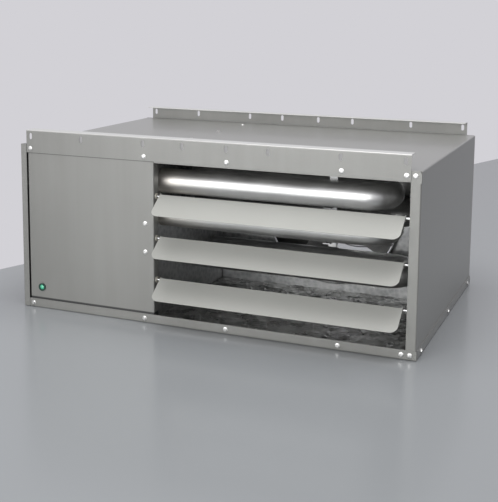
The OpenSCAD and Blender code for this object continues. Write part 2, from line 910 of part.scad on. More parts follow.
// Quarter-turn latch: a slotted head outside the door and a cross bar behind the keeper
module door_latch(z) {
    bar_x = 3 * sheet_t + keeper_gap;
    reach = bar_x + latch_bar_t - door_x0;
    slot_half = latch_head_r * latch_slot_share;
    color("#c2c2bc") placed() translate([0, latch_y, z]) {
        difference() {
            translate([door_x0 - seat_gap - latch_head_t, 0, 0]) rod_x(latch_head_r, latch_head_t);
            translate([door_x0 - seat_gap - latch_head_t - cut, -sheet_t / 2, -slot_half])
                cube([latch_head_t / 2 + cut, sheet_t, 2 * slot_half]);
        }
        translate([door_x0 - seat_gap, 0, 0]) rod_x(latch_d / 2, reach + seat_gap);
        translate([door_x0 + sheet_t + seat_gap, 0, 0]) rod_x(latch_washer_r, sheet_t);
        translate([bar_x, -latch_bar_t / 2, -latch_bar / 2]) cube([latch_bar_t, latch_bar_t, latch_bar]);
    }
}

module door_latch_upper() door_latch(latch_shares[0] * casing_h);
module door_latch_lower() door_latch(latch_shares[1] * casing_h);

module latch_keepers() {
    slot = latch_bar + 2 * keeper_slot_len_gap;
    slot_t = latch_bar_t + 2 * keeper_slot_side_gap;
    color("#a8a8a2") placed() for (s = latch_shares)
        translate([2 * sheet_t, keeper_y, s * casing_h - keeper_h / 2]) difference() {
            cube([sheet_t, keeper_w, keeper_h]);
            translate([-cut, latch_y - keeper_y, keeper_h / 2]) {
                rod_x(latch_d / 2 + keeper_stud_gap, sheet_t + 2 * cut);
                translate([0, -slot_t / 2, -slot / 2]) cube([sheet_t + 2 * cut, slot_t, slot]);
            }
        }
}

module pilot_lamp_body() {
    color("#16382e") placed() translate([lamp_x, 0, lamp_z]) difference() {
        union() {
            translate([0, front_y - lamp_bezel_t, 0]) rod_y(lamp_bezel_r, lamp_bezel_t);
            translate([0, front_y, 0]) rod_y(lamp_r, lamp_len);
        }
        translate([0, front_y - lamp_bezel_t - cut, 0]) rod_y(lamp_lens_r, lamp_bezel_t + cut);
    }
}

module pilot_lamp_lens() {
    color("#63c79b") placed() translate([lamp_x, front_y, lamp_z]) intersection() {
        translate([0, lamp_lens_r, 0]) sphere(r = lamp_lens_r * lens_dome_share);
        translate([0, -lamp_bezel_t - cut, 0]) rod_y(lamp_lens_r, lamp_bezel_t + cut);
    }
}

module tube_ring() {
    difference() {
        circle(tube_r);
        circle(tube_r - tube_wall);
    }
}

// A straight pass along x at the given place
module tube_pass(x0, x1, y) {
    translate([x0, y, 0]) rotate([90, 0, 90]) linear_extrude(x1 - x0) tube_ring();
}

// A level half turn that joins two passes, to the right of x or, with side -1, to its left
module tube_turn(x, y, side) {
    translate([x, y + bend_centre_r, 0]) rotate([0, 0, side > 0 ? -90 : 90])
        rotate_extrude(angle = 180) translate([bend_centre_r, 0]) tube_ring();
}

// Four level passes: from the burner, to and fro, and back to the flue side
module burner_tube(z) {
    color("#b4b4b2") placed() translate([0, 0, z]) {
        tube_pass(tube_x0, tube_x1, pass_ys[0]);
        tube_turn(tube_x1, pass_ys[0], 1);
        tube_pass(tube_left_x, tube_x1, pass_ys[1]);
        tube_turn(tube_left_x, pass_ys[1], -1);
        tube_pass(tube_left_x, tube_x1, pass_ys[2]);
        tube_turn(tube_x1, pass_ys[2], 1);
        tube_pass(tube_x0, tube_x1, pass_ys[3]);
    }
}

module upper_tube() burner_tube(upper_tube_z);
module middle_tube() burner_tube(middle_tube_z);

module lower_tube() {
    color("#a8a8a6") placed() translate([0, 0, lower_tube_z]) {
        tube_pass(tube_x0, tube_x1, pass_ys[2]);
        tube_turn(tube_x1, pass_ys[2], 1);
        tube_pass(tube_x0, tube_x1, pass_ys[3]);
    }
}

// Strap behind the front passes, with a rest under each tube and a foot under the roof
module tube_support() {
    low = middle_tube_z - tube_r - strap_tail;
    color("#9c9c96") placed() translate([strap_x - strap_w / 2, 0, 0]) {
        translate([0, strap_y, low]) cube([strap_w, sheet_t, roof_z - low - sheet_t]);
        translate([0, strap_y, roof_z - sheet_t]) cube([strap_w, strap_foot, sheet_t]);
        for (z = burner_zs)
            translate([0, first_pass_y - tube_r / 2, z - tube_r - seat_gap - sheet_t])
                cube([strap_w, strap_y - first_pass_y + tube_r / 2 + sheet_t, sheet_t]);
    }
}

module floor_insulation() {
    start = return_d + seam_gap;
    color("#6e6e6c") placed() translate([chamber_x + pad_margin, start, floor_z])
        cube([chamber_w - 2 * pad_margin, orifice_y - start - seam_gap, pad_t]);
}

module side_insulation() {
    start = return_d + seam_gap;
    color("#6a6a68") placed() translate([side_in_x - pad_t, start, pan_lip])
        cube([pad_t, orifice_y - start - seam_gap, eave_z - pan_lip]);
}

// Fan wall: a folded panel with a rolled inlet drawn forwards into a throat
module orifice_panel() {
    flat_h = roof_z - floor_z;
    color("#7e7e78") placed() {
        difference() {
            union() {
                translate([chamber_x + bend_out, orifice_y, floor_z + bend_out])
                    cube([chamber_w - 2 * bend_out, sheet_t, flat_h - 2 * bend_out]);
                translate([chamber_x, orifice_y, floor_z + bend_out])
                    fold_z(flat_h - 2 * bend_out, fold_lap, orifice_flange);
                flip_x(side_in_x) translate([0, orifice_y, floor_z + bend_out])
                    fold_z(flat_h - 2 * bend_out, fold_lap, orifice_flange);
                translate([chamber_x + bend_out, orifice_y, floor_z])
                    fold_x(chamber_w - 2 * bend_out, orifice_flange, fold_lap);
                translate([chamber_x + bend_out, orifice_y, roof_z]) mirror([0, 0, 1])
                    fold_x(chamber_w - 2 * bend_out, orifice_flange, fold_lap);
            }
            translate([fan_x, orifice_y - cut, fan_z])
                rod_y(orifice_r + orifice_roll, sheet_t + 2 * cut);
            bracket_places() screw_hole();
        }
        translate([fan_x, orifice_y + sheet_t - orifice_roll, fan_z]) rotate([-90, 0, 0])
            rotate_extrude() orifice_profile();
    }
}

module orifice_profile() {
    intersection() {
        translate([orifice_r + orifice_roll, 0]) difference() {
            circle(orifice_roll);
            circle(orifice_roll - sheet_t);
        }
        translate([orifice_r, 0]) square(orifice_roll);
    }
    translate([orifice_r, -orifice_throat]) square([sheet_t, orifice_throat]);
}

module bracket_places() {
    for (k = [-1, 1], z = [-1, 1])
        translate([fan_x + k * (bracket_half + bracket_foot / 2), orifice_y + sheet_t + bracket_t,
            fan_z + z * bracket_h / 4]) rotate([-90, 0, 0]) children();
}

// One blade: a cambered plate, pitched about its own radius
module blade() {
    half_root = blade_root_w / 2;
    half_tip = blade_tip_w / 2;
    rotate([blade_pitch, 0, 0]) intersection() {
        translate([0, 0, -blade_tip_w / 2]) linear_extrude(blade_tip_w) intersection() {
            circle(fan_r);
            polygon([[blade_root_r, -half_root], [fan_r * blade_lead_share, -half_tip],
                [fan_r, -half_tip * blade_tip_share], [fan_r, half_tip],
                [fan_r * blade_trail_share, half_root * blade_belly_share],
                [blade_root_r, half_root * blade_trail_share]]);
        }
        translate([0, 0, -blade_camber_r]) rod_x_pipe(blade_camber_r, blade_t, fan_r);
    }
}

module rod_x_pipe(r, wall, len) {
    rotate([90, 0, 90]) linear_extrude(len) difference() {
        circle(r, $fn = 96);
        circle(r - wall, $fn = 96);
    }
}

module fan_blade() {
    color("#b0b0ac") placed() translate([fan_x, fan_mid_y, fan_z]) rotate([-90, 0, 0]) difference() {
        union() {
            for (k = [1:fan_blades]) rotate([0, 0, k * 360 / fan_blades + fan_rest]) blade();
            translate([0, 0, -spider_t / 2 - blade_t]) cylinder(r = spider_r, h = spider_t);
            translate([0, 0, -hub_len / 3]) cylinder(r = hub_r, h = hub_len);
        }
        translate([0, 0, -blade_tip_w / 2])
            cylinder(r = fan_shaft_d / 2 + run_gap, h = blade_tip_w);
    }
}

module fan_shaft() {
    color("#c9c9c4") placed() translate([fan_x, fan_mid_y - hub_len / 3, fan_z])
        rod_y(fan_shaft_d / 2, bracket_y - fan_mid_y + hub_len / 3 + motor_len / 3);
}

module motor_bracket() {
    leg = bracket_y - orifice_y - sheet_t;
    color("#8f8f8a") placed() difference() {
        translate([fan_x, 0, fan_z - bracket_h / 2]) {
            translate([-bracket_half, bracket_y, 0]) cube([2 * bracket_half, bracket_t, bracket_h]);
            for (k = [0, 1]) mirror([k, 0, 0]) {
                translate([bracket_half - bracket_t, bracket_y - leg, 0])
                    cube([bracket_t, leg + bracket_t, bracket_h]);
                translate([bracket_half - bracket_t, orifice_y + sheet_t, 0])
                    cube([bracket_foot + bracket_t, bracket_t, bracket_h]);
            }
        }
        translate([fan_x, bracket_y - cut, fan_z]) rod_y(motor_boss_r + seat_gap, bracket_t + 2 * cut);
        bracket_places() screw_hole();
        motor_places() screw_hole();
    }
}

module motor_places() {
    for (i = [-1, 1], k = [-1, 1])
        translate([fan_x + i * motor_bolt_x, bracket_y, fan_z + k * motor_bolt_z])
            rotate([90, 0, 0]) children();
}

module motor_screws() {
    color("#c9c9c4") placed() {
        motor_places() screw();
        bracket_places() screw();
    }
}

// Motor shell with rounded ends, on its axis along y
module fan_motor() {
    r = motor_d / 2;
    face = bracket_y + bracket_t;
    color("#3c3c3c") placed() difference() {
        union() {
            translate([fan_x, face, fan_z]) rotate([-90, 0, 0]) rotate_extrude() {
                square([r - motor_edge, motor_len]);
                translate([0, motor_len]) square([motor_cap_r, motor_cap_t]);
                translate([0, motor_edge]) square([r, motor_len - 2 * motor_edge]);
                for (z = [motor_edge, motor_len - motor_edge])
                    translate([r - motor_edge, z]) circle(motor_edge);
            }
            translate([fan_x, bracket_y, fan_z]) rod_y(motor_boss_r, bracket_t);
        }
        translate([fan_x, bracket_y - cut, fan_z])
            rod_y(fan_shaft_d / 2 + run_gap, bracket_t + motor_len / 3 + 2 * cut);
        motor_places() screw_hole();
        translate([fan_x, face + motor_len - motor_slot_t, fan_z]) for (k = [1:motor_slots])
            rotate([0, k * 360 / motor_slots, 0]) translate([motor_slot_r, 0, -motor_slot_w / 2])
                cube([motor_slot_len, motor_slot_t + cut, motor_slot_w]);
    }
}

// Guard of ring wires on spokes. The diagonal spokes end in flat eyes for the screws
module fan_guard() {
    wire_r = guard_wire / 2;
    step = (guard_r - guard_hub_r) / (guard_rings - 1);
    spoke_y = back_y + wire_r + guard_lift;
    color("#8c8c88") placed() {
        translate([fan_x, spoke_y + guard_wire + run_gap, fan_z]) rotate([-90, 0, 0])
            for (k = [1:guard_rings]) rotate_extrude()
                translate([guard_hub_r + (k - 1) * step, 0]) circle(wire_r, $fn = 16);
        for (k = [0:guard_spokes - 1])
            translate([fan_x, spoke_y, fan_z]) rotate([0, (2 * k + 1) * 180 / guard_spokes, 0])
                translate([guard_hub_r, 0, 0]) rod_x(wire_r, guard_r - guard_hub_r);
        for (a = guard_eye_angles) difference() {
            union() {
                translate([fan_x, spoke_y, fan_z]) rotate([0, a, 0]) translate([guard_hub_r, 0, 0])
                    rod_x(wire_r, guard_r + guard_eye_out - screw_head_r - seat_gap - guard_hub_r);
                guard_eye(a) cylinder(r = guard_eye_r + wire_r, h = guard_eye_t);
            }
            guard_eye(a) screw_hole();
        }
    }
}

// Open-backed sheet box with a flange against the partition
module flue_box(x0, y0, y1, z0, z1) {
    translate([x0, y0, z0]) difference() {
        cube([partition_x - x0, y1 - y0, z1 - z0]);
        translate([box_t, box_t, box_t])
            cube([partition_x - x0, y1 - y0 - 2 * box_t, z1 - z0 - 2 * box_t]);
    }
    translate([partition_x - box_t, y0 - box_flange, z0 - box_flange]) difference() {
        cube([box_t, y1 - y0 + 2 * box_flange, z1 - z0 + 2 * box_flange]);
        translate([-cut, box_flange, box_flange]) cube([box_t + 2 * cut, y1 - y0, z1 - z0]);
    }
}

burner_box_y0 = first_pass_y - tube_r - box_margin;
burner_box_y1 = first_pass_y + tube_r + box_margin;
burner_box_z0 = middle_tube_z - tube_r - box_margin;
burner_box_z1 = upper_tube_z + tube_r + box_margin;
sensor_x = tube_x0 - burner_gap / 2;
sensor_r = 4;
rollout_x = box_x0 + 30;

module burner_box() {
    mid = (burner_box_z0 + burner_box_z1) / 2;
    color("#8a8a86") placed() difference() {
        flue_box(box_x0, burner_box_y0, burner_box_y1, burner_box_z0, burner_box_z1);
        for (z = burner_zs)
            translate([box_x0 - cut, first_pass_y, z]) rod_x(burner_bore(), box_t + 2 * cut);
        for (z = burner_zs)
            translate([sensor_x, burner_box_y1 - box_t - cut, z])
                rod_y(sensor_r + run_gap, box_t + 2 * cut);
        translate([rollout_x, burner_box_y1 - box_t - cut, mid])
            rod_y(limit_r + seat_gap, box_t + 2 * cut);
    }
}

function burner_bore() = burner_mouth_r + seat_gap;

// Inshot burner: bell mouth, throat and flared outlet, with a collar on the box wall
module burner_profile() {
    throat_a = burner_len * 0.12;
    throat_b = burner_len * 0.4;
    flare = burner_len * 0.82;
    w = burner_wall;
    polygon([
        [burner_mouth_r, 0], [burner_throat_r, throat_a], [burner_throat_r, throat_b],
        [burner_r, flare], [burner_r, burner_len], [burner_r - w, burner_len],
        [burner_r - w, flare], [burner_throat_r - w, throat_b], [burner_throat_r - w, throat_a],
        [burner_mouth_r - w, 0]
    ]);
    translate([burner_throat_r - w / 2, burner_collar_share * burner_len - w])
        square([burner_collar_r - burner_throat_r, w]);
}

module burners() {
    color("#a4a29c") placed() for (z = burner_zs)
        translate([burner_x0, first_pass_y, z]) rotate([0, 90, 0]) rotate_extrude() burner_profile();
}

module gas_manifold() {
    low = valve_z0 + valve_h - thread_len;
    color("#8e8e8a") placed() difference() {
        union() {
            translate([manifold_x, first_pass_y, low]) cylinder(r = manifold_r, h = manifold_top - low);
            for (z = burner_zs) translate([manifold_x, first_pass_y, z]) rod_x(spud_boss_r, spud_boss_len);
        }
        translate([manifold_x, first_pass_y, low - cut])
            cylinder(r = manifold_r - manifold_wall, h = manifold_top - low - manifold_wall + cut);
        for (z = burner_zs)
            translate([manifold_x, first_pass_y, z]) rod_x(spud_r + run_gap, spud_boss_len + cut);
    }
}

module burner_orifices() {
    tip = spud_r * 0.8;
    color("#c9a24a") placed() for (z = burner_zs)
        translate([manifold_x + spud_boss_len, first_pass_y, z]) {
            translate([-spud_hex_len, 0, 0]) rod_x(spud_r, spud_hex_len);
            rotate([0, 90, 0]) cylinder(r = spud_hex_r, h = spud_hex_len, $fn = 6);
            translate([spud_hex_len, 0, 0]) rod_x(tip, spud_nose_len);
        }
}

// Level plate round the manifold with an upturned foot on the burner box
module manifold_bracket() {
    mid = (middle_tube_z + upper_tube_z) / 2;
    half = manifold_r + manifold_plate_margin;
    plate = manifold_plate;
    x0 = manifold_x - half;
    color("#98988f") placed() difference() {
        translate([x0, first_pass_y - half, mid]) {
            cube([box_x0 - x0, 2 * half, plate]);
            translate([box_x0 - x0 - plate, 0, 0]) cube([plate, 2 * half, manifold_foot]);
        }
        translate([manifold_x, first_pass_y, mid - cut])
            cylinder(r = manifold_r + run_gap, h = plate + 2 * cut);
    }
}

// Combination valve: a cast body with threaded bosses, a coil housing and a knob seat
module gas_valve() {
    x0 = manifold_x - valve_w / 2;
    y0 = first_pass_y - valve_d / 2;
    round_r = valve_round_r;
    boss = valve_boss;
    coil_y = y0 + valve_d - coil_r - coil_margin;
    coil_z = valve_z0 + valve_h * coil_z_share;
    color("#a7a8a6") placed() difference() {
        union() {
            translate([x0 + round_r, y0, valve_z0]) cube([valve_w - 2 * round_r, valve_d, valve_h]);
            translate([x0, y0 + round_r, valve_z0]) cube([valve_w, valve_d - 2 * round_r, valve_h]);
            for (x = [x0 + round_r, x0 + valve_w - round_r], y = [y0 + round_r, y0 + valve_d - round_r])
                translate([x, y, valve_z0]) cylinder(r = round_r, h = valve_h);
            translate([manifold_x, first_pass_y, valve_z0 - boss])
                cylinder(r = manifold_r + valve_boss_wall, h = valve_h + 2 * boss);
            translate([x0 - coil_len, coil_y, coil_z]) rod_x(coil_r, coil_len + cut);
            translate([x0 - coil_len - coil_cap_len, coil_y, coil_z]) rod_x(coil_cap_r, coil_cap_len);
            for (s = tap_z_shares)
                translate([x0 - tap_len, y0 + valve_d * tap_y_share, valve_z0 + valve_h * s])
                    rotate([0, 90, 0]) cylinder(r = tap_r, h = tap_len + cut, $fn = 6);
            translate([x0 - plug_block[0], y0 + valve_d - round_r - plug_block[1], valve_z0 + round_r])
                cube(plug_block + [cut, 0, 0]);
        }
        translate([manifold_x, first_pass_y, valve_z0 - boss - cut])
            cylinder(r = manifold_r + run_gap, h = boss + thread_len + cut);
        translate([manifold_x, first_pass_y, valve_z0 + valve_h - thread_len])
            cylinder(r = manifold_r + run_gap, h = boss + thread_len + cut);
        knob_place() translate([-cut, 0, 0]) rod_x(knob_pin_r + run_gap, knob_len + cut);
    }
}

module knob_place() {
    translate([manifold_x - valve_w / 2, first_pass_y + valve_d * (knob_y_share - 0.5),
        valve_z0 + valve_h * knob_z_share]) children();
}

module valve_knob() {
    color("#2c5a9a") placed() knob_place() {
        translate([-seat_gap - knob_len, 0, 0]) rod_x(knob_r, knob_len - knob_skirt_len);
        translate([-seat_gap - knob_skirt_len, 0, 0]) rod_x(knob_skirt_r, knob_skirt_len);
        translate([-seat_gap - knob_len - knob_grip, -knob_grip / 2, -knob_r])
            cube([knob_grip, knob_grip, 2 * knob_r]);
        translate([-seat_gap, 0, 0]) rod_x(knob_pin_r, knob_pin_len);
    }
}

// Gas pipe: down out of the valve, round an elbow and out through the back
module gas_pipe() {
    bore = manifold_r - manifold_wall;
    top = valve_z0 + thread_len - thread_gap;
    run_y = first_pass_y + gas_elbow_r;
    bend_z = gas_pipe_z + gas_elbow_r;
    thread_y = casing_d + gas_stub - pipe_thread_len;
    color("#6b6b68") placed() translate([manifold_x, 0, 0]) {
        translate([0, first_pass_y, bend_z]) linear_extrude(top - bend_z) pipe_ring(bore);
        translate([0, run_y, bend_z]) rotate([0, 90, 0]) rotate([0, 0, -90])
            rotate_extrude(angle = 90) translate([gas_elbow_r, 0]) pipe_ring(bore);
        translate([0, run_y, gas_pipe_z]) rotate([-90, 0, 0])
            linear_extrude(thread_y - run_y) pipe_ring(bore);
        translate([0, thread_y, gas_pipe_z]) rotate([-90, 0, 0])
            linear_extrude(pipe_thread_len) pipe_ring(bore, pipe_thread_r);
    }
}

module pipe_ring(bore, outer_r = manifold_r) {
    difference() {
        circle(outer_r);
        circle(bore);
    }
}

module pipe_grommet() {
    bore = gas_pipe_d / 2 + run_gap;
    seat = gas_pipe_d / 2 + grommet_wall - run_gap;
    color("#1e1e1e") placed() translate([manifold_x, back_y - sheet_t, gas_pipe_z]) difference() {
        union() {
            translate([0, -grommet_t, 0]) rod_y(seat + grommet_lip, grommet_t);
            rod_y(seat, sheet_t);
            translate([0, sheet_t, 0]) rod_y(seat + grommet_lip, grommet_t);
        }
        translate([0, -grommet_t - cut, 0]) rod_y(bore, sheet_t + 2 * (grommet_t + cut));
    }
}

// Ceramic-bodied electrode through the burner box's back wall
module electrode(z) {
    shoulder = 7;
    shoulder_t = 4;
    tail = 22;
    rod = 1.2;
    inside = burner_box_y1 - first_pass_y - burner_r * 0.5;
    translate([sensor_x, burner_box_y1, z]) {
        translate([0, -shoulder, 0]) rod_y(sensor_r, shoulder + tail);
        rod_y(shoulder, shoulder_t);
        translate([0, -inside, 0]) rod_y(rod, inside - shoulder);
        translate([0, tail, 0]) rod_y(rod * 2, shoulder);
    }
}

module spark_igniter() color("#e6e2d6") placed() electrode(burner_zs[0]);
module flame_sensor() color("#dcd8cc") placed() electrode(burner_zs[1]);

// Disc thermostats: a cap through the wall, a body with a flange, and two blades
limit_r = 7;
limit_y = (pass_ys[1] + pass_ys[2]) / 2;
limit_z = (middle_tube_z + upper_tube_z) / 2;

module disc_thermostat() {
    cap = 5;
    body_r = 9;
    body_len = 12;
    ear = 14;
    cylinder(r = body_r, h = body_len);
    translate([0, 0, -cap]) cylinder(r = limit_r, h = cap);
    translate([-ear, -body_r / 2, 0]) cube([2 * ear, body_r, sheet_t]);
    for (k = [-1, 1]) translate([k * body_r / 2 - sheet_t, -sheet_t / 2, body_len])
        cube([2 * sheet_t, sheet_t, limit_r]);
}

module rollout_switch() {
    color("#3a3a3a") placed()
        translate([rollout_x, burner_box_y1, (burner_box_z0 + burner_box_z1) / 2])
            rotate([-90, 0, 0]) disc_thermostat();
}

module limit_switch() {
    color("#3a3a3a") placed()
        translate([partition_x, limit_y, limit_z]) rotate([0, -90, 0]) disc_thermostat();
}

module collector_box() {
    half = tube_r + collector_margin;
    color("#85857f") placed()
        flue_box(flue_x1, pass_ys[3] - half, pass_ys[3] + half, lower_tube_z - half, upper_tube_z + half);
}

module inducer_inlet() {
    color("#85857f") placed() difference() {
        flue_box(flue_x1, inducer_y - inlet_half, inducer_y + inlet_half,
            inducer_z - inlet_half, inducer_z + inlet_half);
        translate([flue_x1 - cut, inducer_y, inducer_z]) rod_x(inlet_eye_r, box_t + 2 * cut);
    }
}

// Scroll housing: a round case with a square outlet chute along its top
module scroll(grow) {
    r = volute_r + grow;
    translate([volute_x0 - grow, inducer_y, inducer_z]) rod_x(r, volute_w + 2 * grow);
    translate([volute_x0 - grow, inducer_y, inducer_z + volute_r - chute_h - grow])
        cube([volute_w + 2 * grow, chute_end_y - inducer_y, chute_h + 2 * grow]);
}

module inducer_housing() {
    color("#77787a") placed() difference() {
        scroll(0);
        scroll(-volute_t);
        translate([volute_x0 + volute_t, chute_end_y - 2 * volute_t,
            inducer_z + volute_r - chute_h + volute_t])
            cube([volute_w - 2 * volute_t, 3 * volute_t, chute_h - 2 * volute_t]);
        translate([flue_x1 - volute_t - cut, inducer_y, inducer_z]) rod_x(inlet_eye_r, volute_t + 2 * cut);
        translate([volute_x0 - cut, inducer_y, inducer_z])
            rod_x(inducer_shaft_r + seat_gap, volute_t + 2 * cut);
    }
}

module inducer_wheel() {
    wheel_x = volute_x0 + inducer_wheel_gap;
    vane_t = inducer_vane_t;
    color("#9a9b9c") placed() translate([wheel_x, inducer_y, inducer_z]) {
        rod_x(inducer_wheel_r, 2 * vane_t);
        rod_x(inducer_hub_r, inducer_wheel_w);
        for (k = [1:inducer_vanes]) rotate([k * 360 / inducer_vanes, 0, 0])
            translate([0, -vane_t / 2, inducer_wheel_r - inducer_vane_h - vane_t])
                cube([inducer_wheel_w, vane_t, inducer_vane_h]);
        translate([-inducer_wheel_gap - inducer_shaft_in, 0, 0])
            rod_x(inducer_shaft_r, inducer_wheel_gap + inducer_shaft_in);
    }
}

// Open-frame motor: a laminated stack between two bearing bells, its coil on one leg
module inducer_motor() {
    half = inducer_motor_half;
    flat = half - inducer_round_r;
    coil_x = inducer_stack_x - inducer_coil_past;
    coil_len = inducer_stack_len + 2 * inducer_coil_past;
    color("#34363a") placed() translate([volute_x0, inducer_y, inducer_z]) difference() {
        union() {
            translate([-inducer_motor_len, 0, 0]) rod_x(inducer_bell_r, inducer_motor_len);
            translate([-inducer_stack_x - inducer_stack_len, 0, 0]) {
                translate([0, -half, -flat]) cube([inducer_stack_len, 2 * half, 2 * flat]);
                translate([0, -flat, -half]) cube([inducer_stack_len, 2 * flat, 2 * half]);
                for (y = [-flat, flat], z = [-flat, flat])
                    translate([0, y, z]) rod_x(inducer_round_r, inducer_stack_len);
            }
            translate([-coil_x - coil_len, -half - inducer_coil_over, -inducer_coil_w])
                cube([coil_len, inducer_coil_w / 2 + inducer_coil_over, 2 * inducer_coil_w]);
        }
        translate([-inducer_shaft_in - seat_gap, 0, 0])
            rod_x(inducer_shaft_r + run_gap, inducer_shaft_in + seat_gap + cut);
    }
}

// Duct from the scroll's square outlet to the round vent collar
module adapter_form(shrink) {
    end_y = adapter_end_y;
    lip = adapter_lip;
    $fn = 32;
    hull() {
        translate([volute_x0 + shrink, chute_end_y, inducer_z + volute_r - chute_h + shrink])
            cube([volute_w - 2 * shrink, lip, chute_h - 2 * shrink]);
        translate([vent_x, end_y - lip, vent_z])
            rod_y(vent_d / 2 - vent_wall - 2 * seat_gap - shrink, lip);
    }
}

module flue_adapter() {
    end_y = adapter_end_y;
    lip = adapter_lip;
    color("#8b8b85") placed() difference() {
        adapter_form(0);
        adapter_form(adapter_t);
        translate([volute_x0 + adapter_t, chute_end_y - cut, inducer_z + volute_r - chute_h + adapter_t])
            cube([volute_w - 2 * adapter_t, cut + lip, chute_h - 2 * adapter_t]);
        translate([vent_x, end_y - lip, vent_z])
            rod_y(vent_d / 2 - vent_wall - 2 * seat_gap - adapter_t, cut + lip);
    }
}

module vent_collar() {
    r = vent_d / 2;
    color("#a6a6a0") placed() difference() {
        union() {
            translate([vent_x, back_y - vent_in, vent_z]) rod_y(r, vent_in + sheet_t + vent_reach);
            translate([vent_x - vent_plate / 2, back_y, vent_z - vent_plate / 2])
                cube([vent_plate, sheet_t, vent_plate]);
        }
        translate([vent_x, back_y - vent_in - cut, vent_z])
            rod_y(r - vent_wall, vent_in + sheet_t + vent_reach + 2 * cut);
        vent_places() screw_hole();
    }
}

// Plate that hangs from the roof and carries the controls
module control_bracket() {
    color("#9a9a92") placed() {
        translate([bracket_x, control_y0, control_z0])
            cube([sheet_t, control_y1 - control_y0, roof_z - control_z0 - bend_out]);
        translate([bracket_x + sheet_t, control_y0, roof_z]) mirror([1, 0, 0]) mirror([0, 0, 1])
            fold_y(control_y1 - control_y0, partition_flange, fold_lap);
    }
}

// Ignition control: a tray with ears, a raised cover and a row of plugs
module ignition_control() {
    deep = ignition_box[0];
    long = ignition_box[1];
    high = ignition_box[2];
    rim = ignition_rim;
    pitch = ignition_plug_pitch;
    translate([bracket_x - deep, ignition_y, ignition_z]) {
        cube(ignition_box);
        translate([deep - ignition_ear_t, -ignition_ear, high / 4])
            cube([ignition_ear_t, long + 2 * ignition_ear, high / 2]);
        translate([-ignition_cover_t, rim, ignition_plug[2] + 2 * rim])
            cube([ignition_cover_t, long - 2 * rim, high - ignition_plug[2] - 3 * rim]);
        for (k = [0:ignition_plugs - 1])
            translate([-ignition_plug[0], long / 2 + (k - (ignition_plugs - 1) / 2) * pitch, rim])
                translate([0, -ignition_plug[1] / 2, 0]) cube(ignition_plug);
    }
}

// Transformer: a laminated core round its coil, on two feet
module transformer() {
    core = transformer_core;
    coil = transformer_coil;
    stand = (coil[0] - core[0]) / 2;
    translate([bracket_x - coil[0], transformer_y, transformer_z]) {
        translate([stand, 0, 0]) cube(core);
        translate([0, (core[1] - coil[1]) / 2, (core[2] - coil[2]) / 2]) cube(coil);
        for (y = [0, core[1] - transformer_foot_t])
            translate([stand, y, 0]) cube([coil[0] - stand, transformer_foot_t, core[2]]);
    }
}

// Pressure switch: a round case with a rim, a hub and two hose barbs
module pressure_switch() {
    mid = (pressure_cap_len - pressure_rim_t) / 2;
    translate([bracket_x, pressure_y, pressure_z]) rotate([0, -90, 0]) {
        cylinder(r = pressure_cap_r, h = pressure_cap_len);
        translate([0, 0, mid]) cylinder(r = pressure_rim_r, h = pressure_rim_t);
        cylinder(r = pressure_hub_r, h = pressure_cap_len + pressure_hub_len);
        for (y = [-pressure_hub_r, pressure_hub_r])
            translate([0, y, mid - pressure_barb_r - seat_gap]) rotate([0, -90, 0])
                cylinder(r = pressure_barb_r, h = pressure_rim_r + pressure_barb_len);
    }
}

module control_parts() {
    color("#2f3133") placed() {
        ignition_control();
        transformer();
        pressure_switch();
    }
}

jacket();
bottom_pan();
front_panel();
rear_panel();
lower_rail();
partition();
front_hanging_flange();
rear_hanging_flange();
casing_screws();
louvre_upper();
louvre_middle();
louvre_lower();
louvre_upper_pins();
louvre_middle_pins();
louvre_lower_pins();
louvre_bushings();
access_door();
door_hinge_leaves();
casing_hinge_leaves();
hinge_pins();
door_latch_upper();
door_latch_lower();
latch_keepers();
pilot_lamp_body();
pilot_lamp_lens();
upper_tube();
middle_tube();
lower_tube();
tube_support();
floor_insulation();
side_insulation();
orifice_panel();
fan_blade();
fan_shaft();
fan_motor();
motor_bracket();
motor_screws();
fan_guard();
burner_box();
burners();
gas_manifold();
burner_orifices();
manifold_bracket();
gas_valve();
valve_knob();
gas_pipe();
pipe_grommet();
spark_igniter();
flame_sensor();
rollout_switch();
limit_switch();
collector_box();
inducer_inlet();
inducer_housing();
inducer_wheel();
inducer_motor();
flue_adapter();
vent_collar();
control_bracket();
control_parts();
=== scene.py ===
"""A low-profile gas unit heater, dressed piece by piece in the order in which it is put together."""

import math

import bmesh
import bpy
from mathutils import Matrix, Vector, noise


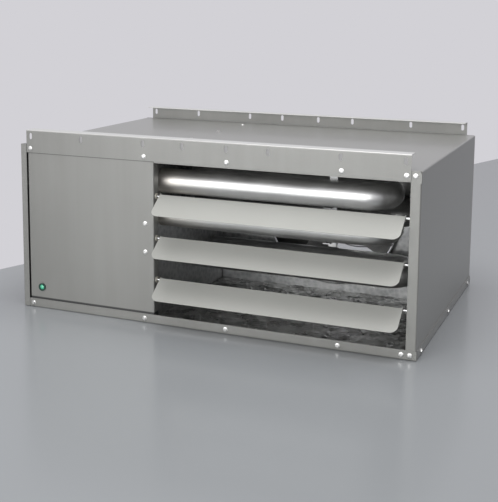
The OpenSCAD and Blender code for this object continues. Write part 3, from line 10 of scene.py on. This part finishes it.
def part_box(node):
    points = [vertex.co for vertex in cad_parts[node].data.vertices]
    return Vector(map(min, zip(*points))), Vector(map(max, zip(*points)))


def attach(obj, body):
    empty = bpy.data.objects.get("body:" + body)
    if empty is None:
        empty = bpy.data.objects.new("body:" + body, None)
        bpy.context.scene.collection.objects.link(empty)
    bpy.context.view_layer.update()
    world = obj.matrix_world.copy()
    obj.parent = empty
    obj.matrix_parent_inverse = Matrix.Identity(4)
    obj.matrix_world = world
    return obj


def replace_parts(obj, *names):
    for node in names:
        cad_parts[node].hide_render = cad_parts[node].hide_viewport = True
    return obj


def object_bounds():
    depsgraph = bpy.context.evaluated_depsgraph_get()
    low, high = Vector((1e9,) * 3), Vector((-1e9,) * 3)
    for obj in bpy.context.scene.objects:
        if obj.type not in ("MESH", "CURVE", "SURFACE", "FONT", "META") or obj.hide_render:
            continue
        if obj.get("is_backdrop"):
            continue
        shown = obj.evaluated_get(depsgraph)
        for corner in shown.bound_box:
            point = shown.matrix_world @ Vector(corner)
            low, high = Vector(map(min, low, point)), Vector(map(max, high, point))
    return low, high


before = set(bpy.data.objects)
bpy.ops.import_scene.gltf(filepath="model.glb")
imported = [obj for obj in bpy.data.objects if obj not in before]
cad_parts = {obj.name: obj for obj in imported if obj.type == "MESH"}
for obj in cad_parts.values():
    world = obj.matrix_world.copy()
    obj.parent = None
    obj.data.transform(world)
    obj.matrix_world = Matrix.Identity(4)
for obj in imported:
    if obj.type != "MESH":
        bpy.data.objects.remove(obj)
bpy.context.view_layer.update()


# Camera: it stands where the photograph's camera stood, and turns, tilts and rolls as that did.
# A small downward shift keeps the casing's upright edges as parallel as they are there.
camera_place = (0.6884, -1.7494, 0.560)
camera_turn, camera_tilt, camera_roll = 22.24, 8.22, 0.51
picture_height_px = 502
focal_length_px = 974.8
camera = bpy.data.objects.new("camera", bpy.data.cameras.new("camera"))
bpy.context.scene.collection.objects.link(camera)
bpy.context.scene.camera = camera
camera.matrix_world = (
    Matrix.Translation(camera_place)
    @ Matrix.Rotation(math.radians(camera_turn), 4, "Z")
    @ Matrix.Rotation(math.radians(90 - camera_tilt), 4, "X")
    @ Matrix.Rotation(math.radians(camera_roll), 4, "Z")
)
camera.data.sensor_width = 36
camera.data.lens = focal_length_px * camera.data.sensor_width / picture_height_px
camera.data.shift_y = -0.2


# Studio: a pale floor with a faint gloss, cut where the photograph's floor ends. It is stage.
# Beyond it is an even pale surround, and two softboxes light the object.
class Value:
    """An output socket in a material's tree. Arithmetic on it adds Math nodes."""

    def __init__(self, tree, socket):
        self.tree = tree
        self.socket = socket

    def maths(self, operation, *inputs):
        return add_node(self.tree, "ShaderNodeMath", {"operation": operation}, dict(enumerate(inputs)))

    def __add__(self, other):
        return self.maths("ADD", self, other)

    def __mul__(self, other):
        return self.maths("MULTIPLY", self, other)

    __radd__ = __add__
    __rmul__ = __mul__

    def over(self, low, high):
        """0 at low and 1 at high, with soft ends."""
        settings = {"interpolation_type": "SMOOTHSTEP"}
        return add_node(self.tree, "ShaderNodeMapRange", settings, {0: self, 1: low, 2: high})

    def tint(self, dark, light):
        """The colour dark where this is 0 and light where it is 1."""
        settings = {"data_type": "RGBA", "clamp_factor": True}
        inputs = {0: self, 6: as_colour(dark), 7: as_colour(light)}
        return add_node(self.tree, "ShaderNodeMix", settings, inputs, output=2)


def as_colour(colour):
    return colour if isinstance(colour, Value) else (*colour[:3], 1)


def add_node(tree, kind, settings, inputs, output=0):
    node = tree.nodes.new(kind)
    for key, value in settings.items():
        setattr(node, key, value)
    for key, value in inputs.items():
        if isinstance(value, Value):
            tree.links.new(value.socket, node.inputs[key])
        else:
            node.inputs[key].default_value = value
    return Value(tree, node.outputs[output])


class Finish:
    """A material on the row's own coordinates, in metres, with noise and cells to pattern it."""

    def __init__(self, name):
        self.material = bpy.data.materials.new(name)
        self.material.use_nodes = True
        self.tree = self.material.node_tree
        self.shader = self.tree.nodes["Principled BSDF"]
        self.place = add_node(self.tree, "ShaderNodeTexCoord", {}, {}, output="Object")

    def along(self, axis):
        return add_node(self.tree, "ShaderNodeSeparateXYZ", {}, {0: self.place}, output="XYZ".index(axis))

    def stretched(self, x, y, z):
        return add_node(self.tree, "ShaderNodeMapping", {}, {0: self.place, "Scale": (x, y, z)})

    def noise(self, size, detail=2, rough=0.5, place=None):
        """Noise about 0.5 whose blotches are size metres across."""
        inputs = {"Vector": place or self.place, "Scale": 1 / size, "Detail": detail, "Roughness": rough}
        return add_node(self.tree, "ShaderNodeTexNoise", {}, inputs)

    def mottle(self, size, dark, light, detail=2):
        """A colour that wanders between dark and light in blotches size metres across."""
        return self.noise(size, detail).over(0.3, 0.7).tint(dark, light)

    def cells(self, size, feature="F1"):
        """Distance patterns in cells that are size metres across."""
        inputs = {"Vector": self.place, "Scale": 1 / size}
        return add_node(self.tree, "ShaderNodeTexVoronoi", {"feature": feature}, inputs)

    def bump(self, height, depth, under=None):
        """A normal raised by height, which is from 0 to 1, times depth in metres."""
        inputs = {"Height": height, "Distance": depth, "Strength": 1}
        if under:
            inputs["Normal"] = under
        return add_node(self.tree, "ShaderNodeBump", {}, inputs)

    def set(self, **sockets):
        """Names the shader's sockets with _ for a space."""
        for key, value in sockets.items():
            socket = self.shader.inputs[key.replace("_", " ")]
            if isinstance(value, Value):
                self.tree.links.new(value.socket, socket)
            else:
                socket.default_value = as_colour(value) if isinstance(value, tuple) else value


floor_edge_point = (-0.578, -0.042, 0)
floor_edge_outward = (-2.075, 0.741, 0)
floor_half_side = 6
floor_finish = Finish("floor_finish")
floor_finish.set(Base_Color=(0.32, 0.335, 0.345), Roughness=0.2, Specular_IOR_Level=0.3)
bm = bmesh.new()
bmesh.ops.create_grid(bm, x_segments=1, y_segments=1, size=floor_half_side)
bmesh.ops.bisect_plane(
    bm,
    geom=bm.verts[:] + bm.edges[:] + bm.faces[:],
    plane_co=floor_edge_point,
    plane_no=floor_edge_outward,
    clear_outer=True,
)
floor_mesh = bpy.data.meshes.new("studio_floor")
bm.to_mesh(floor_mesh)
bm.free()
floor = bpy.data.objects.new("studio_floor", floor_mesh)
floor_mesh.materials.append(floor_finish.material)
bpy.context.scene.collection.objects.link(floor)
floor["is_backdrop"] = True

world = bpy.data.worlds.new("studio")
bpy.context.scene.world = world
world.use_nodes = True
surround = world.node_tree.nodes["Background"]
surround.inputs["Color"].default_value = (0.645, 0.637, 0.672, 1)
rays = [
    add_node(world.node_tree, "ShaderNodeLightPath", {}, {}, output=ray)
    for ray in ("Is Camera Ray", "Is Glossy Ray", "Is Transmission Ray")
]
rays_sum = rays[0] + rays[1] + rays[2]
seen = rays_sum.maths("MINIMUM", rays_sum, 1)
world.node_tree.links.new((0.42 * seen + 0.58).socket, surround.inputs["Strength"])


def add_softbox(name, place, aim, size, watts):
    lamp = bpy.data.objects.new(name, bpy.data.lights.new(name, "AREA"))
    bpy.context.scene.collection.objects.link(lamp)
    lamp.location = place
    lamp.rotation_euler = (Vector(aim) - Vector(place)).to_track_quat("-Z", "Y").to_euler()
    lamp.data.shape = "RECTANGLE"
    lamp.data.size, lamp.data.size_y = size
    lamp.data.energy = watts


add_softbox("softbox_front", (-0.4, -2.8, 0.72), (0, 0, 0.15), (2.8, 1.35), 48)
add_softbox("softbox_above", (0.2, -0.2, 2.6), (0, 0, 0.2), (2.4, 1.8), 48)

bpy.context.scene.view_settings.view_transform = "Standard"


# Casing: folded sheet steel in a grey metallic baked enamel with a fine orange peel.
# The folded door and hanging flanges are of the same sheet, held by screws and hinges.
# A painted shadow darkens the front panel beside each lapped seam, and a painted highlight brightens the
# bend along a flange's top.
# Sizes and colours of the painted shadow beside seams and the painted highlight along bends.
seam_shadow_width = 0.0022
bend_highlight_start, bend_highlight_end = 0.0018, 0.0008
seam_shadow_colour = (0.035, 0.035, 0.035)
bend_highlight_colour = (0.62, 0.62, 0.6)
pan_edge = 0.0196


def dress(finish, *names):
    """Gives CAD nodes a finish in place of their plain one."""
    for name in names:
        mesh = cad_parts[name].data
        mesh.materials.clear()
        mesh.materials.append(finish.material)


def enamel(name, seam_shadow=None, bend_highlight_z=None):
    """Grey metallic enamel, with a painted shadow beside each lapped edge at the seam heights and a
    painted highlight along a fold at the bend height.
    """
    finish = Finish(name)
    cloud = finish.noise(0.3, detail=3)
    streak = finish.noise(0.02, detail=2, place=finish.stretched(1, 1, 0.06))
    flake = finish.noise(0.0008, detail=1)
    peel = finish.noise(0.0032, detail=2)
    shade = 0.55 * cloud + 0.25 * streak + 0.2 * flake
    colour = shade.over(0.3, 0.7).tint((0.232, 0.232, 0.218), (0.272, 0.273, 0.257))
    # Painted shadow: a near-black band just above the pan's edge and just below the flange's lower edge,
    # standing in for the shade those edges cast.
    if seam_shadow:
        low, high = seam_shadow
        height = finish.along("Z")
        clear = height.over(high, high - seam_shadow_width) * height.over(low, low + seam_shadow_width)
        colour = clear.tint(seam_shadow_colour, colour)
    # Painted highlight: a light band just under the flange's top, where the bend would catch the light.
    if bend_highlight_z:
        bend_highlight_mask = finish.along("Z").over(bend_highlight_z - bend_highlight_start, bend_highlight_z - bend_highlight_end)
        colour = bend_highlight_mask.tint(colour, bend_highlight_colour)
    finish.set(
        Base_Color=colour,
        Metallic=0.3,
        Roughness=0.26 + 0.1 * cloud + 0.04 * streak,
        Normal=finish.bump(peel, 0.000035),
        Coat_Weight=0.3,
        Coat_Roughness=0.13,
    )
    return finish


dress(
    enamel("casing_enamel"),
    "jacket",
    "bottom_pan",
    "rear_panel",
    "lower_rail",
    "access_door",
    "inducer_housing",
)
flange_low, flange_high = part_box("front_hanging_flange")
# The front panel's painted shadow lies just above the pan's edge and just below the front flange.
dress(enamel("panel_enamel", seam_shadow=(pan_edge, flange_low.z)), "front_panel")
# The hanging flanges carry a painted highlight along the bend at their top.
dress(enamel("flange_enamel", bend_highlight_z=flange_high.z), "front_hanging_flange", "rear_hanging_flange")

# Louvres: blades of the same sheet, in a duller and lighter enamel.
# Each turns on two plated pins in nylon bushings pressed into the sides of the opening.
louvre_enamel = Finish("louvre_enamel")
cloud = louvre_enamel.noise(0.25, detail=3)
grain = louvre_enamel.noise(0.001, detail=1)
peel = louvre_enamel.noise(0.002, detail=2)
louvre_enamel.set(
    Base_Color=(0.8 * cloud + 0.2 * grain)
    .over(0.3, 0.7)
    .tint((0.4, 0.404, 0.375), (0.445, 0.449, 0.418)),
    Metallic=0.05,
    Roughness=0.5 + 0.1 * cloud,
    Normal=louvre_enamel.bump(peel, 0.00003),
)
dress(louvre_enamel, "louvre_upper", "louvre_middle", "louvre_lower")

bushing_nylon = Finish("bushing_nylon")
bushing_nylon.set(
    Base_Color=bushing_nylon.mottle(0.004, (0.6, 0.57, 0.48), (0.68, 0.66, 0.58)),
    Roughness=0.42 + 0.1 * bushing_nylon.noise(0.002),
    Normal=bushing_nylon.bump(bushing_nylon.noise(0.0006), 0.00002),
)
dress(bushing_nylon, "louvre_bushings")

zinc_plate = Finish("zinc_plate")
cloud = zinc_plate.noise(0.008, detail=3)
scratch = zinc_plate.noise(0.003, detail=2, place=zinc_plate.stretched(1, 1, 9))
zinc_plate.set(
    Base_Color=(0.6 * cloud + 0.4 * scratch)
    .over(0.25, 0.75)
    .tint((0.55, 0.56, 0.56), (0.76, 0.76, 0.74)),
    Metallic=1.0,
    Roughness=0.2 + 0.2 * cloud,
    Normal=zinc_plate.bump(scratch, 0.00002),
)
dress(
    zinc_plate,
    "louvre_upper_pins",
    "louvre_middle_pins",
    "louvre_lower_pins",
    "door_hinge_leaves",
    "casing_hinge_leaves",
    "hinge_pins",
    "door_latch_upper",
    "door_latch_lower",
    "latch_keepers",
    "fan_shaft",
)


# Sheet screws: zinc-plated, with a dished hexagon head on a round washer flange.
# They are turned from wire, with rolled threads and a drilling point. Lengths are in metres.
screw_length, screw_shank = 0.008, 0.0021
screw_flange, screw_head = 0.0044, 0.0024
thread_pitch = 0.0014
tip_cone, tip_end = 0.0012, 0.0022
washer_rim, washer_shoulder, washer_top = 0.0003, 0.0006, 0.0008
hexagon_share, hexagon_sink = 0.78, 0.0007
hexagon_bevel, hexagon_rim = 0.0003, 0.0007
dish_slope, dish_depth = 0.0002, 0.0006


def add_piece(name, bm, finish, body, smooth=35):
    """Makes a mesh object that rides on a body. Edges sharper than smooth degrees stay sharp."""
    bmesh.ops.remove_doubles(bm, verts=bm.verts, dist=1e-6)
    bmesh.ops.recalc_face_normals(bm, faces=bm.faces)
    for face in bm.faces:
        face.smooth = True
    for edge in bm.edges:
        edge.smooth = edge.is_manifold and edge.calc_face_angle(0) < math.radians(smooth)
    mesh = bpy.data.meshes.new(name)
    bm.to_mesh(mesh)
    bm.free()
    mesh.materials.append(finish.material)
    piece = bpy.data.objects.new(name, mesh)
    bpy.context.scene.collection.objects.link(piece)
    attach(piece, body)
    return piece


def solids(node):
    """The separate solids of a CAD node, each as the list of its points."""
    bm = bmesh.new()
    bm.from_mesh(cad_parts[node].data)
    bmesh.ops.remove_doubles(bm, verts=bm.verts, dist=1e-6)
    found = []
    seen = set()
    for start in bm.verts:
        if start in seen:
            continue
        seen.add(start)
        group = [start]
        for vert in group:
            for edge in vert.link_edges:
                other = edge.other_vert(vert)
                if other not in seen:
                    seen.add(other)
                    group.append(other)
        found.append([vert.co.copy() for vert in group])
    bm.free()
    return found


def turn_solid(bm, profile, segments):
    """A solid turned about Z from a profile of (radius, height) points, with both ends on the axis."""
    verts = [bm.verts.new((radius, 0, height)) for radius, height in profile]
    edges = [bm.edges.new(pair) for pair in zip(verts, verts[1:])]
    bmesh.ops.spin(
        bm,
        geom=verts + edges,
        cent=(0, 0, 0),
        axis=(0, 0, 1),
        angle=math.tau,
        steps=segments,
        use_merge=True,
        use_duplicate=False,
    )


def screw_shape():
    """A screw along Z, its washer flange on zero and its point below."""
    length, shank, flange, head = screw_length, screw_shank, screw_flange, screw_head
    bm = bmesh.new()
    profile = [(0, -length), (0.4 * shank, -length + tip_cone)]
    height = -length + tip_end
    while height < -thread_pitch:
        profile += [(0.8 * shank, height), (shank, height + thread_pitch / 2)]
        height += thread_pitch
    profile += [(shank, 0), (0.97 * flange, 0), (flange, washer_rim), (0.98 * flange, washer_shoulder)]
    profile += [(0.86 * flange, washer_top), (0, washer_top)]
    turn_solid(bm, profile, 16)
    hexagon_r = hexagon_share * flange
    hexagon = bmesh.ops.create_cone(
        bm, cap_ends=True, segments=6, radius1=hexagon_r, radius2=hexagon_r, depth=head - hexagon_sink
    )["verts"]
    bmesh.ops.translate(bm, verts=hexagon, vec=(0, 0, (head + hexagon_sink) / 2))
    top = [face for face in {f for v in hexagon for f in v.link_faces} if face.normal.z > 0.9]
    bmesh.ops.bevel(
        bm, geom=top[0].edges, offset=hexagon_bevel, affect="EDGES", segments=2, profile=0.5, material=-1
    )
    caps = (f for f in bm.faces if f.normal.z > 0.9 and len(f.verts) > 5)
    top = max(caps, key=lambda f: f.calc_area())
    bmesh.ops.inset_region(bm, faces=[top], thickness=hexagon_rim, depth=0)
    bmesh.ops.inset_region(bm, faces=[top], thickness=dish_slope, depth=-dish_depth)
    return bm


def add_screws(name, node, finish):
    """Stands a detailed screw in the place of each of a node's screws."""
    template = bpy.data.meshes.new("screw_template")
    shape = screw_shape()
    shape.to_mesh(template)
    shape.free()
    bm = bmesh.new()
    for points in solids(node):
        low = Vector(map(min, *points))
        high = Vector(map(max, *points))
        size = high - low
        axis = max(range(3), key=lambda k: size[k])
        middle = sum((p[axis] for p in points), 0) / len(points)
        outward = Vector((0, 0, 0))
        outward[axis] = 1 if middle > (low[axis] + high[axis]) / 2 else -1
        seat = (low + high) / 2
        seat[axis] = (high[axis] if outward[axis] > 0 else low[axis]) - outward[axis] * screw_head
        turn = 63 * seat.x + 45 * seat.y + 99 * seat.z
        before = len(bm.verts)
        bm.from_mesh(template)
        bm.verts.ensure_lookup_table()
        place = (
            Matrix.Translation(seat)
            @ outward.to_track_quat("Z", "Y").to_matrix().to_4x4()
            @ Matrix.Rotation(turn, 4, "Z")
        )
        bmesh.ops.transform(bm, matrix=place, verts=bm.verts[before:])
    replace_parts(add_piece(name, bm, finish, "casing"), node)


bright_zinc = Finish("bright_zinc")
bright_zinc.set(
    Base_Color=bright_zinc.noise(0.003, detail=3)
    .over(0.25, 0.75)
    .tint((0.5, 0.5, 0.49), (0.74, 0.74, 0.72)),
    Metallic=1.0,
    Roughness=0.22 + 0.16 * bright_zinc.noise(0.002),
)
add_screws("sheet_screws", "casing_screws", bright_zinc)
add_screws("fan_screws", "motor_screws", bright_zinc)

# Inner sheets: galvanised steel with the frost-like spangle of its zinc coat.
# Partition, fan wall, flue boxes and brackets are folded from it and screwed or spot-welded.
galvanised = Finish("galvanised")
spangle = galvanised.cells(0.009)
fine = galvanised.noise(0.0025, detail=2)
cloud = galvanised.noise(0.12, detail=3)
galvanised.set(
    Base_Color=(0.5 * spangle + 0.2 * fine + 0.3 * cloud)
    .over(0.2, 0.75)
    .tint((0.36, 0.37, 0.37), (0.58, 0.585, 0.58)),
    Metallic=0.95,
    Roughness=0.3 + 0.2 * spangle,
    Normal=galvanised.bump(fine, 0.00003),
)
dress(
    galvanised,
    "partition",
    "orifice_panel",
    "motor_bracket",
    "tube_support",
    "burner_box",
    "manifold_bracket",
    "collector_box",
    "inducer_inlet",
    "flue_adapter",
    "vent_collar",
    "control_bracket",
)

# Heat exchanger tubes: seam-welded aluminised steel, bent cold in one level plane each.
# The bright coat is slightly rippled along the tube, and dulls to straw near the burners.
tube_coat = Finish("tube_coat")
draw = tube_coat.noise(0.03, detail=3, place=tube_coat.stretched(0.25, 3, 3))
cloud = tube_coat.noise(0.05, detail=3)
heat = tube_coat.along("X").over(0.02, -0.13) * tube_coat.along("Y").over(-0.12, -0.16)
tube_coat.set(
    Base_Color=(heat * 0.6 * cloud).tint(
        (0.6 * draw + 0.4 * cloud).over(0.25, 0.75).tint((0.62, 0.62, 0.61), (0.82, 0.82, 0.81)),
        (0.62, 0.52, 0.36),
    ),
    Metallic=1.0,
    Roughness=0.36 + 0.14 * cloud,
    Normal=tube_coat.bump(draw, 0.0003),
)
dress(tube_coat, "upper_tube", "middle_tube", "lower_tube")


# Insulation: fibre blankets faced with foil, stuck to the chamber's floor and right wall.
# The foil is crumpled all over, with sharp creases between small flat facets.
foil_step = 0.0028
crumple_sizes = ((0.09, 0.3), (0.034, 0.4), (0.014, 0.3))


def crumple(point):
    """Height from 0 to 1 at a point of the foil, with creases where a layer of noise crosses zero."""
    height = 0
    for size, share in crumple_sizes:
        height += share * min(1, 2.6 * abs(noise.noise(point / size)))
    return height


def add_blanket(name, node, turn):
    """A crumpled blanket in a node's box. turn lays the box's thickness along Z."""
    ends = [turn.inverted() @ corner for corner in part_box(node)]
    low = Vector(map(min, *ends))
    high = Vector(map(max, *ends))
    size = high - low
    bm = bmesh.new()
    stretch = Matrix.Translation((low + high) / 2) @ Matrix.Diagonal((size.x, size.y, 1, 1))
    steps = [round(side / foil_step) for side in size.xy]
    bmesh.ops.create_grid(bm, x_segments=steps[0], y_segments=steps[1], size=0.5, matrix=stretch)
    top = list(bm.verts)
    rim = bmesh.ops.extrude_edge_only(bm, edges=[e for e in bm.edges if e.is_boundary])["geom"]
    for vert in rim:
        if isinstance(vert, bmesh.types.BMVert):
            vert.co.z = low.z
    for vert in top:
        vert.co.z = low.z + size.z * (0.25 + 0.75 * crumple(vert.co))
    bmesh.ops.holes_fill(bm, edges=[e for e in bm.edges if e.is_boundary], sides=0)
    bmesh.ops.transform(bm, matrix=turn, verts=bm.verts)
    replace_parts(add_piece(name, bm, crumpled_foil, "casing", smooth=60), node)


crumpled_foil = Finish("crumpled_foil")
cloud = crumpled_foil.noise(0.05, detail=4)
crease = crumpled_foil.cells(0.011, "DISTANCE_TO_EDGE")
crumpled_foil.set(
    Base_Color=cloud.over(0.3, 0.7).tint((0.3, 0.3, 0.29), (0.62, 0.62, 0.61)),
    Metallic=0.95,
    Roughness=0.2 + 0.16 * cloud,
    Normal=crumpled_foil.bump(crease, 0.003, crumpled_foil.bump(cloud, 0.003)),
)
add_blanket("floor_blanket", "floor_insulation", Matrix.Identity(4))
add_blanket("side_blanket", "side_insulation", Matrix.Rotation(-math.pi / 2, 4, "Y"))

# Fan: four pressed aluminium blades on a spider, driven by a black enamelled motor.
# A guard of plated wire stands over the opening at the back.
blade_sheet = Finish("blade_sheet")
brush = blade_sheet.noise(0.004, detail=2, place=blade_sheet.stretched(1, 1, 12))
blade_sheet.set(
    Base_Color=blade_sheet.mottle(0.06, (0.5, 0.5, 0.49), (0.62, 0.62, 0.61), detail=3),
    Metallic=1.0,
    Roughness=0.3 + 0.15 * brush,
    Normal=blade_sheet.bump(brush, 0.00003),
)
dress(blade_sheet, "fan_blade", "inducer_wheel")

motor_enamel = Finish("motor_enamel")
motor_enamel.set(
    Base_Color=motor_enamel.mottle(0.03, (0.022, 0.023, 0.025), (0.04, 0.04, 0.042), detail=3),
    Roughness=0.34 + 0.14 * motor_enamel.noise(0.004),
    Normal=motor_enamel.bump(motor_enamel.noise(0.0015, detail=2), 0.00005),
)
dress(motor_enamel, "fan_motor", "inducer_motor")

guard_wire = Finish("guard_wire")
guard_wire.set(
    Base_Color=guard_wire.mottle(0.02, (0.46, 0.47, 0.47), (0.66, 0.66, 0.65), detail=3),
    Metallic=1.0,
    Roughness=0.24 + 0.12 * guard_wire.noise(0.003),
)
dress(guard_wire, "fan_guard")

# Pilot lamp: a dark green moulded bezel snapped into the front panel.
# Its jewel is a low green dome cut in rings of flat facets.
lamp_moulding = Finish("lamp_moulding")
lamp_moulding.set(
    Base_Color=lamp_moulding.mottle(0.002, (0.006, 0.04, 0.027), (0.01, 0.06, 0.04)),
    Roughness=0.24 + 0.08 * lamp_moulding.noise(0.001),
)
dress(lamp_moulding, "pilot_lamp_body")

jewel_glass = Finish("jewel_glass")
jewel_glass.set(
    Base_Color=jewel_glass.mottle(0.0025, (0.05, 0.42, 0.24), (0.12, 0.6, 0.38)),
    Roughness=0.08,
    Coat_Weight=0.8,
    Coat_Roughness=0.03,
    Emission_Color=(0.05, 0.5, 0.27),
    Emission_Strength=0.12,
)
low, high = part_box("pilot_lamp_lens")
centre = (low + high) / 2
radius = (high.x - low.x) / 2
rise = high.y - low.y
bm = bmesh.new()
rings = [(1.0, 0.0), (1.0, 0.3), (0.78, 0.62), (0.45, 0.88), (0.0, 1.0)]
turn_solid(bm, [(0, 0)] + [(r * radius, h * rise) for r, h in rings], 12)
face_front = Matrix.Translation((centre.x, high.y, centre.z)) @ Matrix.Rotation(math.pi / 2, 4, "X")
bmesh.ops.transform(bm, matrix=face_front, verts=bm.verts)
jewel = add_piece("pilot_lamp_jewel", bm, jewel_glass, "casing", smooth=5)
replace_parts(jewel, "pilot_lamp_lens")

# Gas train: a cast aluminium valve, a drawn steel manifold with brass orifices, and inshot burners.
# The supply pipe is threaded black iron, through a rubber grommet in the back.
cast_aluminium = Finish("cast_aluminium")
sand = cast_aluminium.noise(0.0009, detail=2)
cast_aluminium.set(
    Base_Color=cast_aluminium.mottle(0.02, (0.42, 0.425, 0.42), (0.56, 0.56, 0.55), detail=3),
    Metallic=0.85,
    Roughness=0.42 + 0.2 * sand,
    Normal=cast_aluminium.bump(sand, 0.00012),
)
dress(cast_aluminium, "gas_valve")

drawn_steel = Finish("drawn_steel")
drawn_steel.set(
    Base_Color=drawn_steel.mottle(0.015, (0.4, 0.385, 0.36), (0.6, 0.6, 0.58), detail=4),
    Metallic=1.0,
    Roughness=0.3 + 0.2 * drawn_steel.noise(0.006, detail=3),
    Normal=drawn_steel.bump(drawn_steel.noise(0.002), 0.00004),
)
dress(drawn_steel, "gas_manifold", "burners")

turned_brass = Finish("turned_brass")
turned_brass.set(
    Base_Color=turned_brass.mottle(0.004, (0.55, 0.37, 0.12), (0.72, 0.52, 0.2)),
    Metallic=1.0,
    Roughness=0.22 + 0.14 * turned_brass.noise(0.0015),
)
dress(turned_brass, "burner_orifices")

knob_plastic = Finish("knob_plastic")
knob_plastic.set(
    Base_Color=knob_plastic.mottle(0.006, (0.02, 0.09, 0.29), (0.03, 0.12, 0.36)),
    Roughness=0.38 + 0.12 * knob_plastic.noise(0.002),
    Normal=knob_plastic.bump(knob_plastic.noise(0.0006), 0.00003),
)
dress(knob_plastic, "valve_knob")

black_iron = Finish("black_iron")
scale = black_iron.noise(0.004, detail=4)
pipe_thread_pitch = 0.0018
thread_start, thread_full = 0.2595, 0.2605
phase = black_iron.along("Y") * (math.tau / pipe_thread_pitch)
threads = black_iron.along("Y").over(thread_start, thread_full) * (0.5 * phase.maths("SINE", phase) + 0.5)
black_iron.set(
    Base_Color=scale.over(0.35, 0.7).tint((0.03, 0.029, 0.028), (0.085, 0.078, 0.07)),
    Metallic=0.7,
    Roughness=0.45 + 0.2 * scale,
    Normal=black_iron.bump(threads, 0.0009, black_iron.bump(scale, 0.00015)),
)
dress(black_iron, "gas_pipe")

grommet_rubber = Finish("grommet_rubber")
grommet_rubber.set(
    Base_Color=grommet_rubber.mottle(0.006, (0.012, 0.012, 0.012), (0.022, 0.022, 0.022)),
    Roughness=0.6 + 0.15 * grommet_rubber.noise(0.002),
)
dress(grommet_rubber, "pipe_grommet")


# Electrodes and switches: glazed ceramic with steel rods, and black phenolic with tin-plated blades.
# The rods, blades, coils and cans are picked out of the CAD solids by where they lie.
rod_reach = 0.0026
spade_reach = 0.0068
valve_coil_reach, valve_coil_bottom = 0.0285, 0.1
switch_back = -0.03
transformer_back, transformer_top = 0.04, 0.235
coil_middle_y, coil_half_y = 0.006, 0.0165
coil_middle_z, coil_half_z = 0.206, 0.0145


def repaint(name, finish, test):
    """Gives the faces of a CAD node whose centre passes the test a finish of their own."""
    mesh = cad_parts[name].data
    mesh.materials.append(finish.material)
    for face in mesh.polygons:
        if test(face.center):
            face.material_index = len(mesh.materials) - 1


glazed_ceramic = Finish("glazed_ceramic")
glazed_ceramic.set(
    Base_Color=glazed_ceramic.mottle(0.004, (0.68, 0.64, 0.54), (0.8, 0.77, 0.69)),
    Roughness=0.16 + 0.1 * glazed_ceramic.noise(0.002),
)
dress(glazed_ceramic, "spark_igniter", "flame_sensor")
for name in ("spark_igniter", "flame_sensor"):
    low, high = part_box(name)
    centre = (low + high) / 2
    repaint(name, drawn_steel, lambda p: math.hypot(p.x - centre.x, p.z - centre.z) < rod_reach)

black_phenolic = Finish("black_phenolic")
black_phenolic.set(
    Base_Color=black_phenolic.mottle(0.01, (0.02, 0.021, 0.023), (0.032, 0.033, 0.035)),
    Roughness=0.36 + 0.14 * black_phenolic.noise(0.003),
    Normal=black_phenolic.bump(black_phenolic.noise(0.0008), 0.00003),
)
dress(black_phenolic, "rollout_switch", "limit_switch", "control_parts")
repaint("rollout_switch", bright_zinc, lambda p: p.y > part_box("rollout_switch")[1].y - spade_reach)
repaint("limit_switch", bright_zinc, lambda p: p.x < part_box("limit_switch")[0].x + spade_reach)
repaint("control_parts", zinc_plate, lambda p: p.y < switch_back)
repaint(
    "control_parts",
    drawn_steel,
    lambda p: switch_back < p.y < transformer_back and p.z < transformer_top,
)
coil_tape = Finish("coil_tape")
coil_tape.set(
    Base_Color=coil_tape.mottle(0.004, (0.42, 0.27, 0.05), (0.55, 0.38, 0.09)),
    Roughness=0.4 + 0.15 * coil_tape.noise(0.002),
)
repaint(
    "control_parts",
    coil_tape,
    lambda p: abs(p.y - coil_middle_y) < coil_half_y and abs(p.z - coil_middle_z) < coil_half_z,
)
valve_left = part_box("gas_valve")[0].x
repaint(
    "gas_valve",
    black_phenolic,
    lambda p: p.x < valve_left + valve_coil_reach and p.z > valve_coil_bottom,
)

# The dressed model's box is found.
low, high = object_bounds()
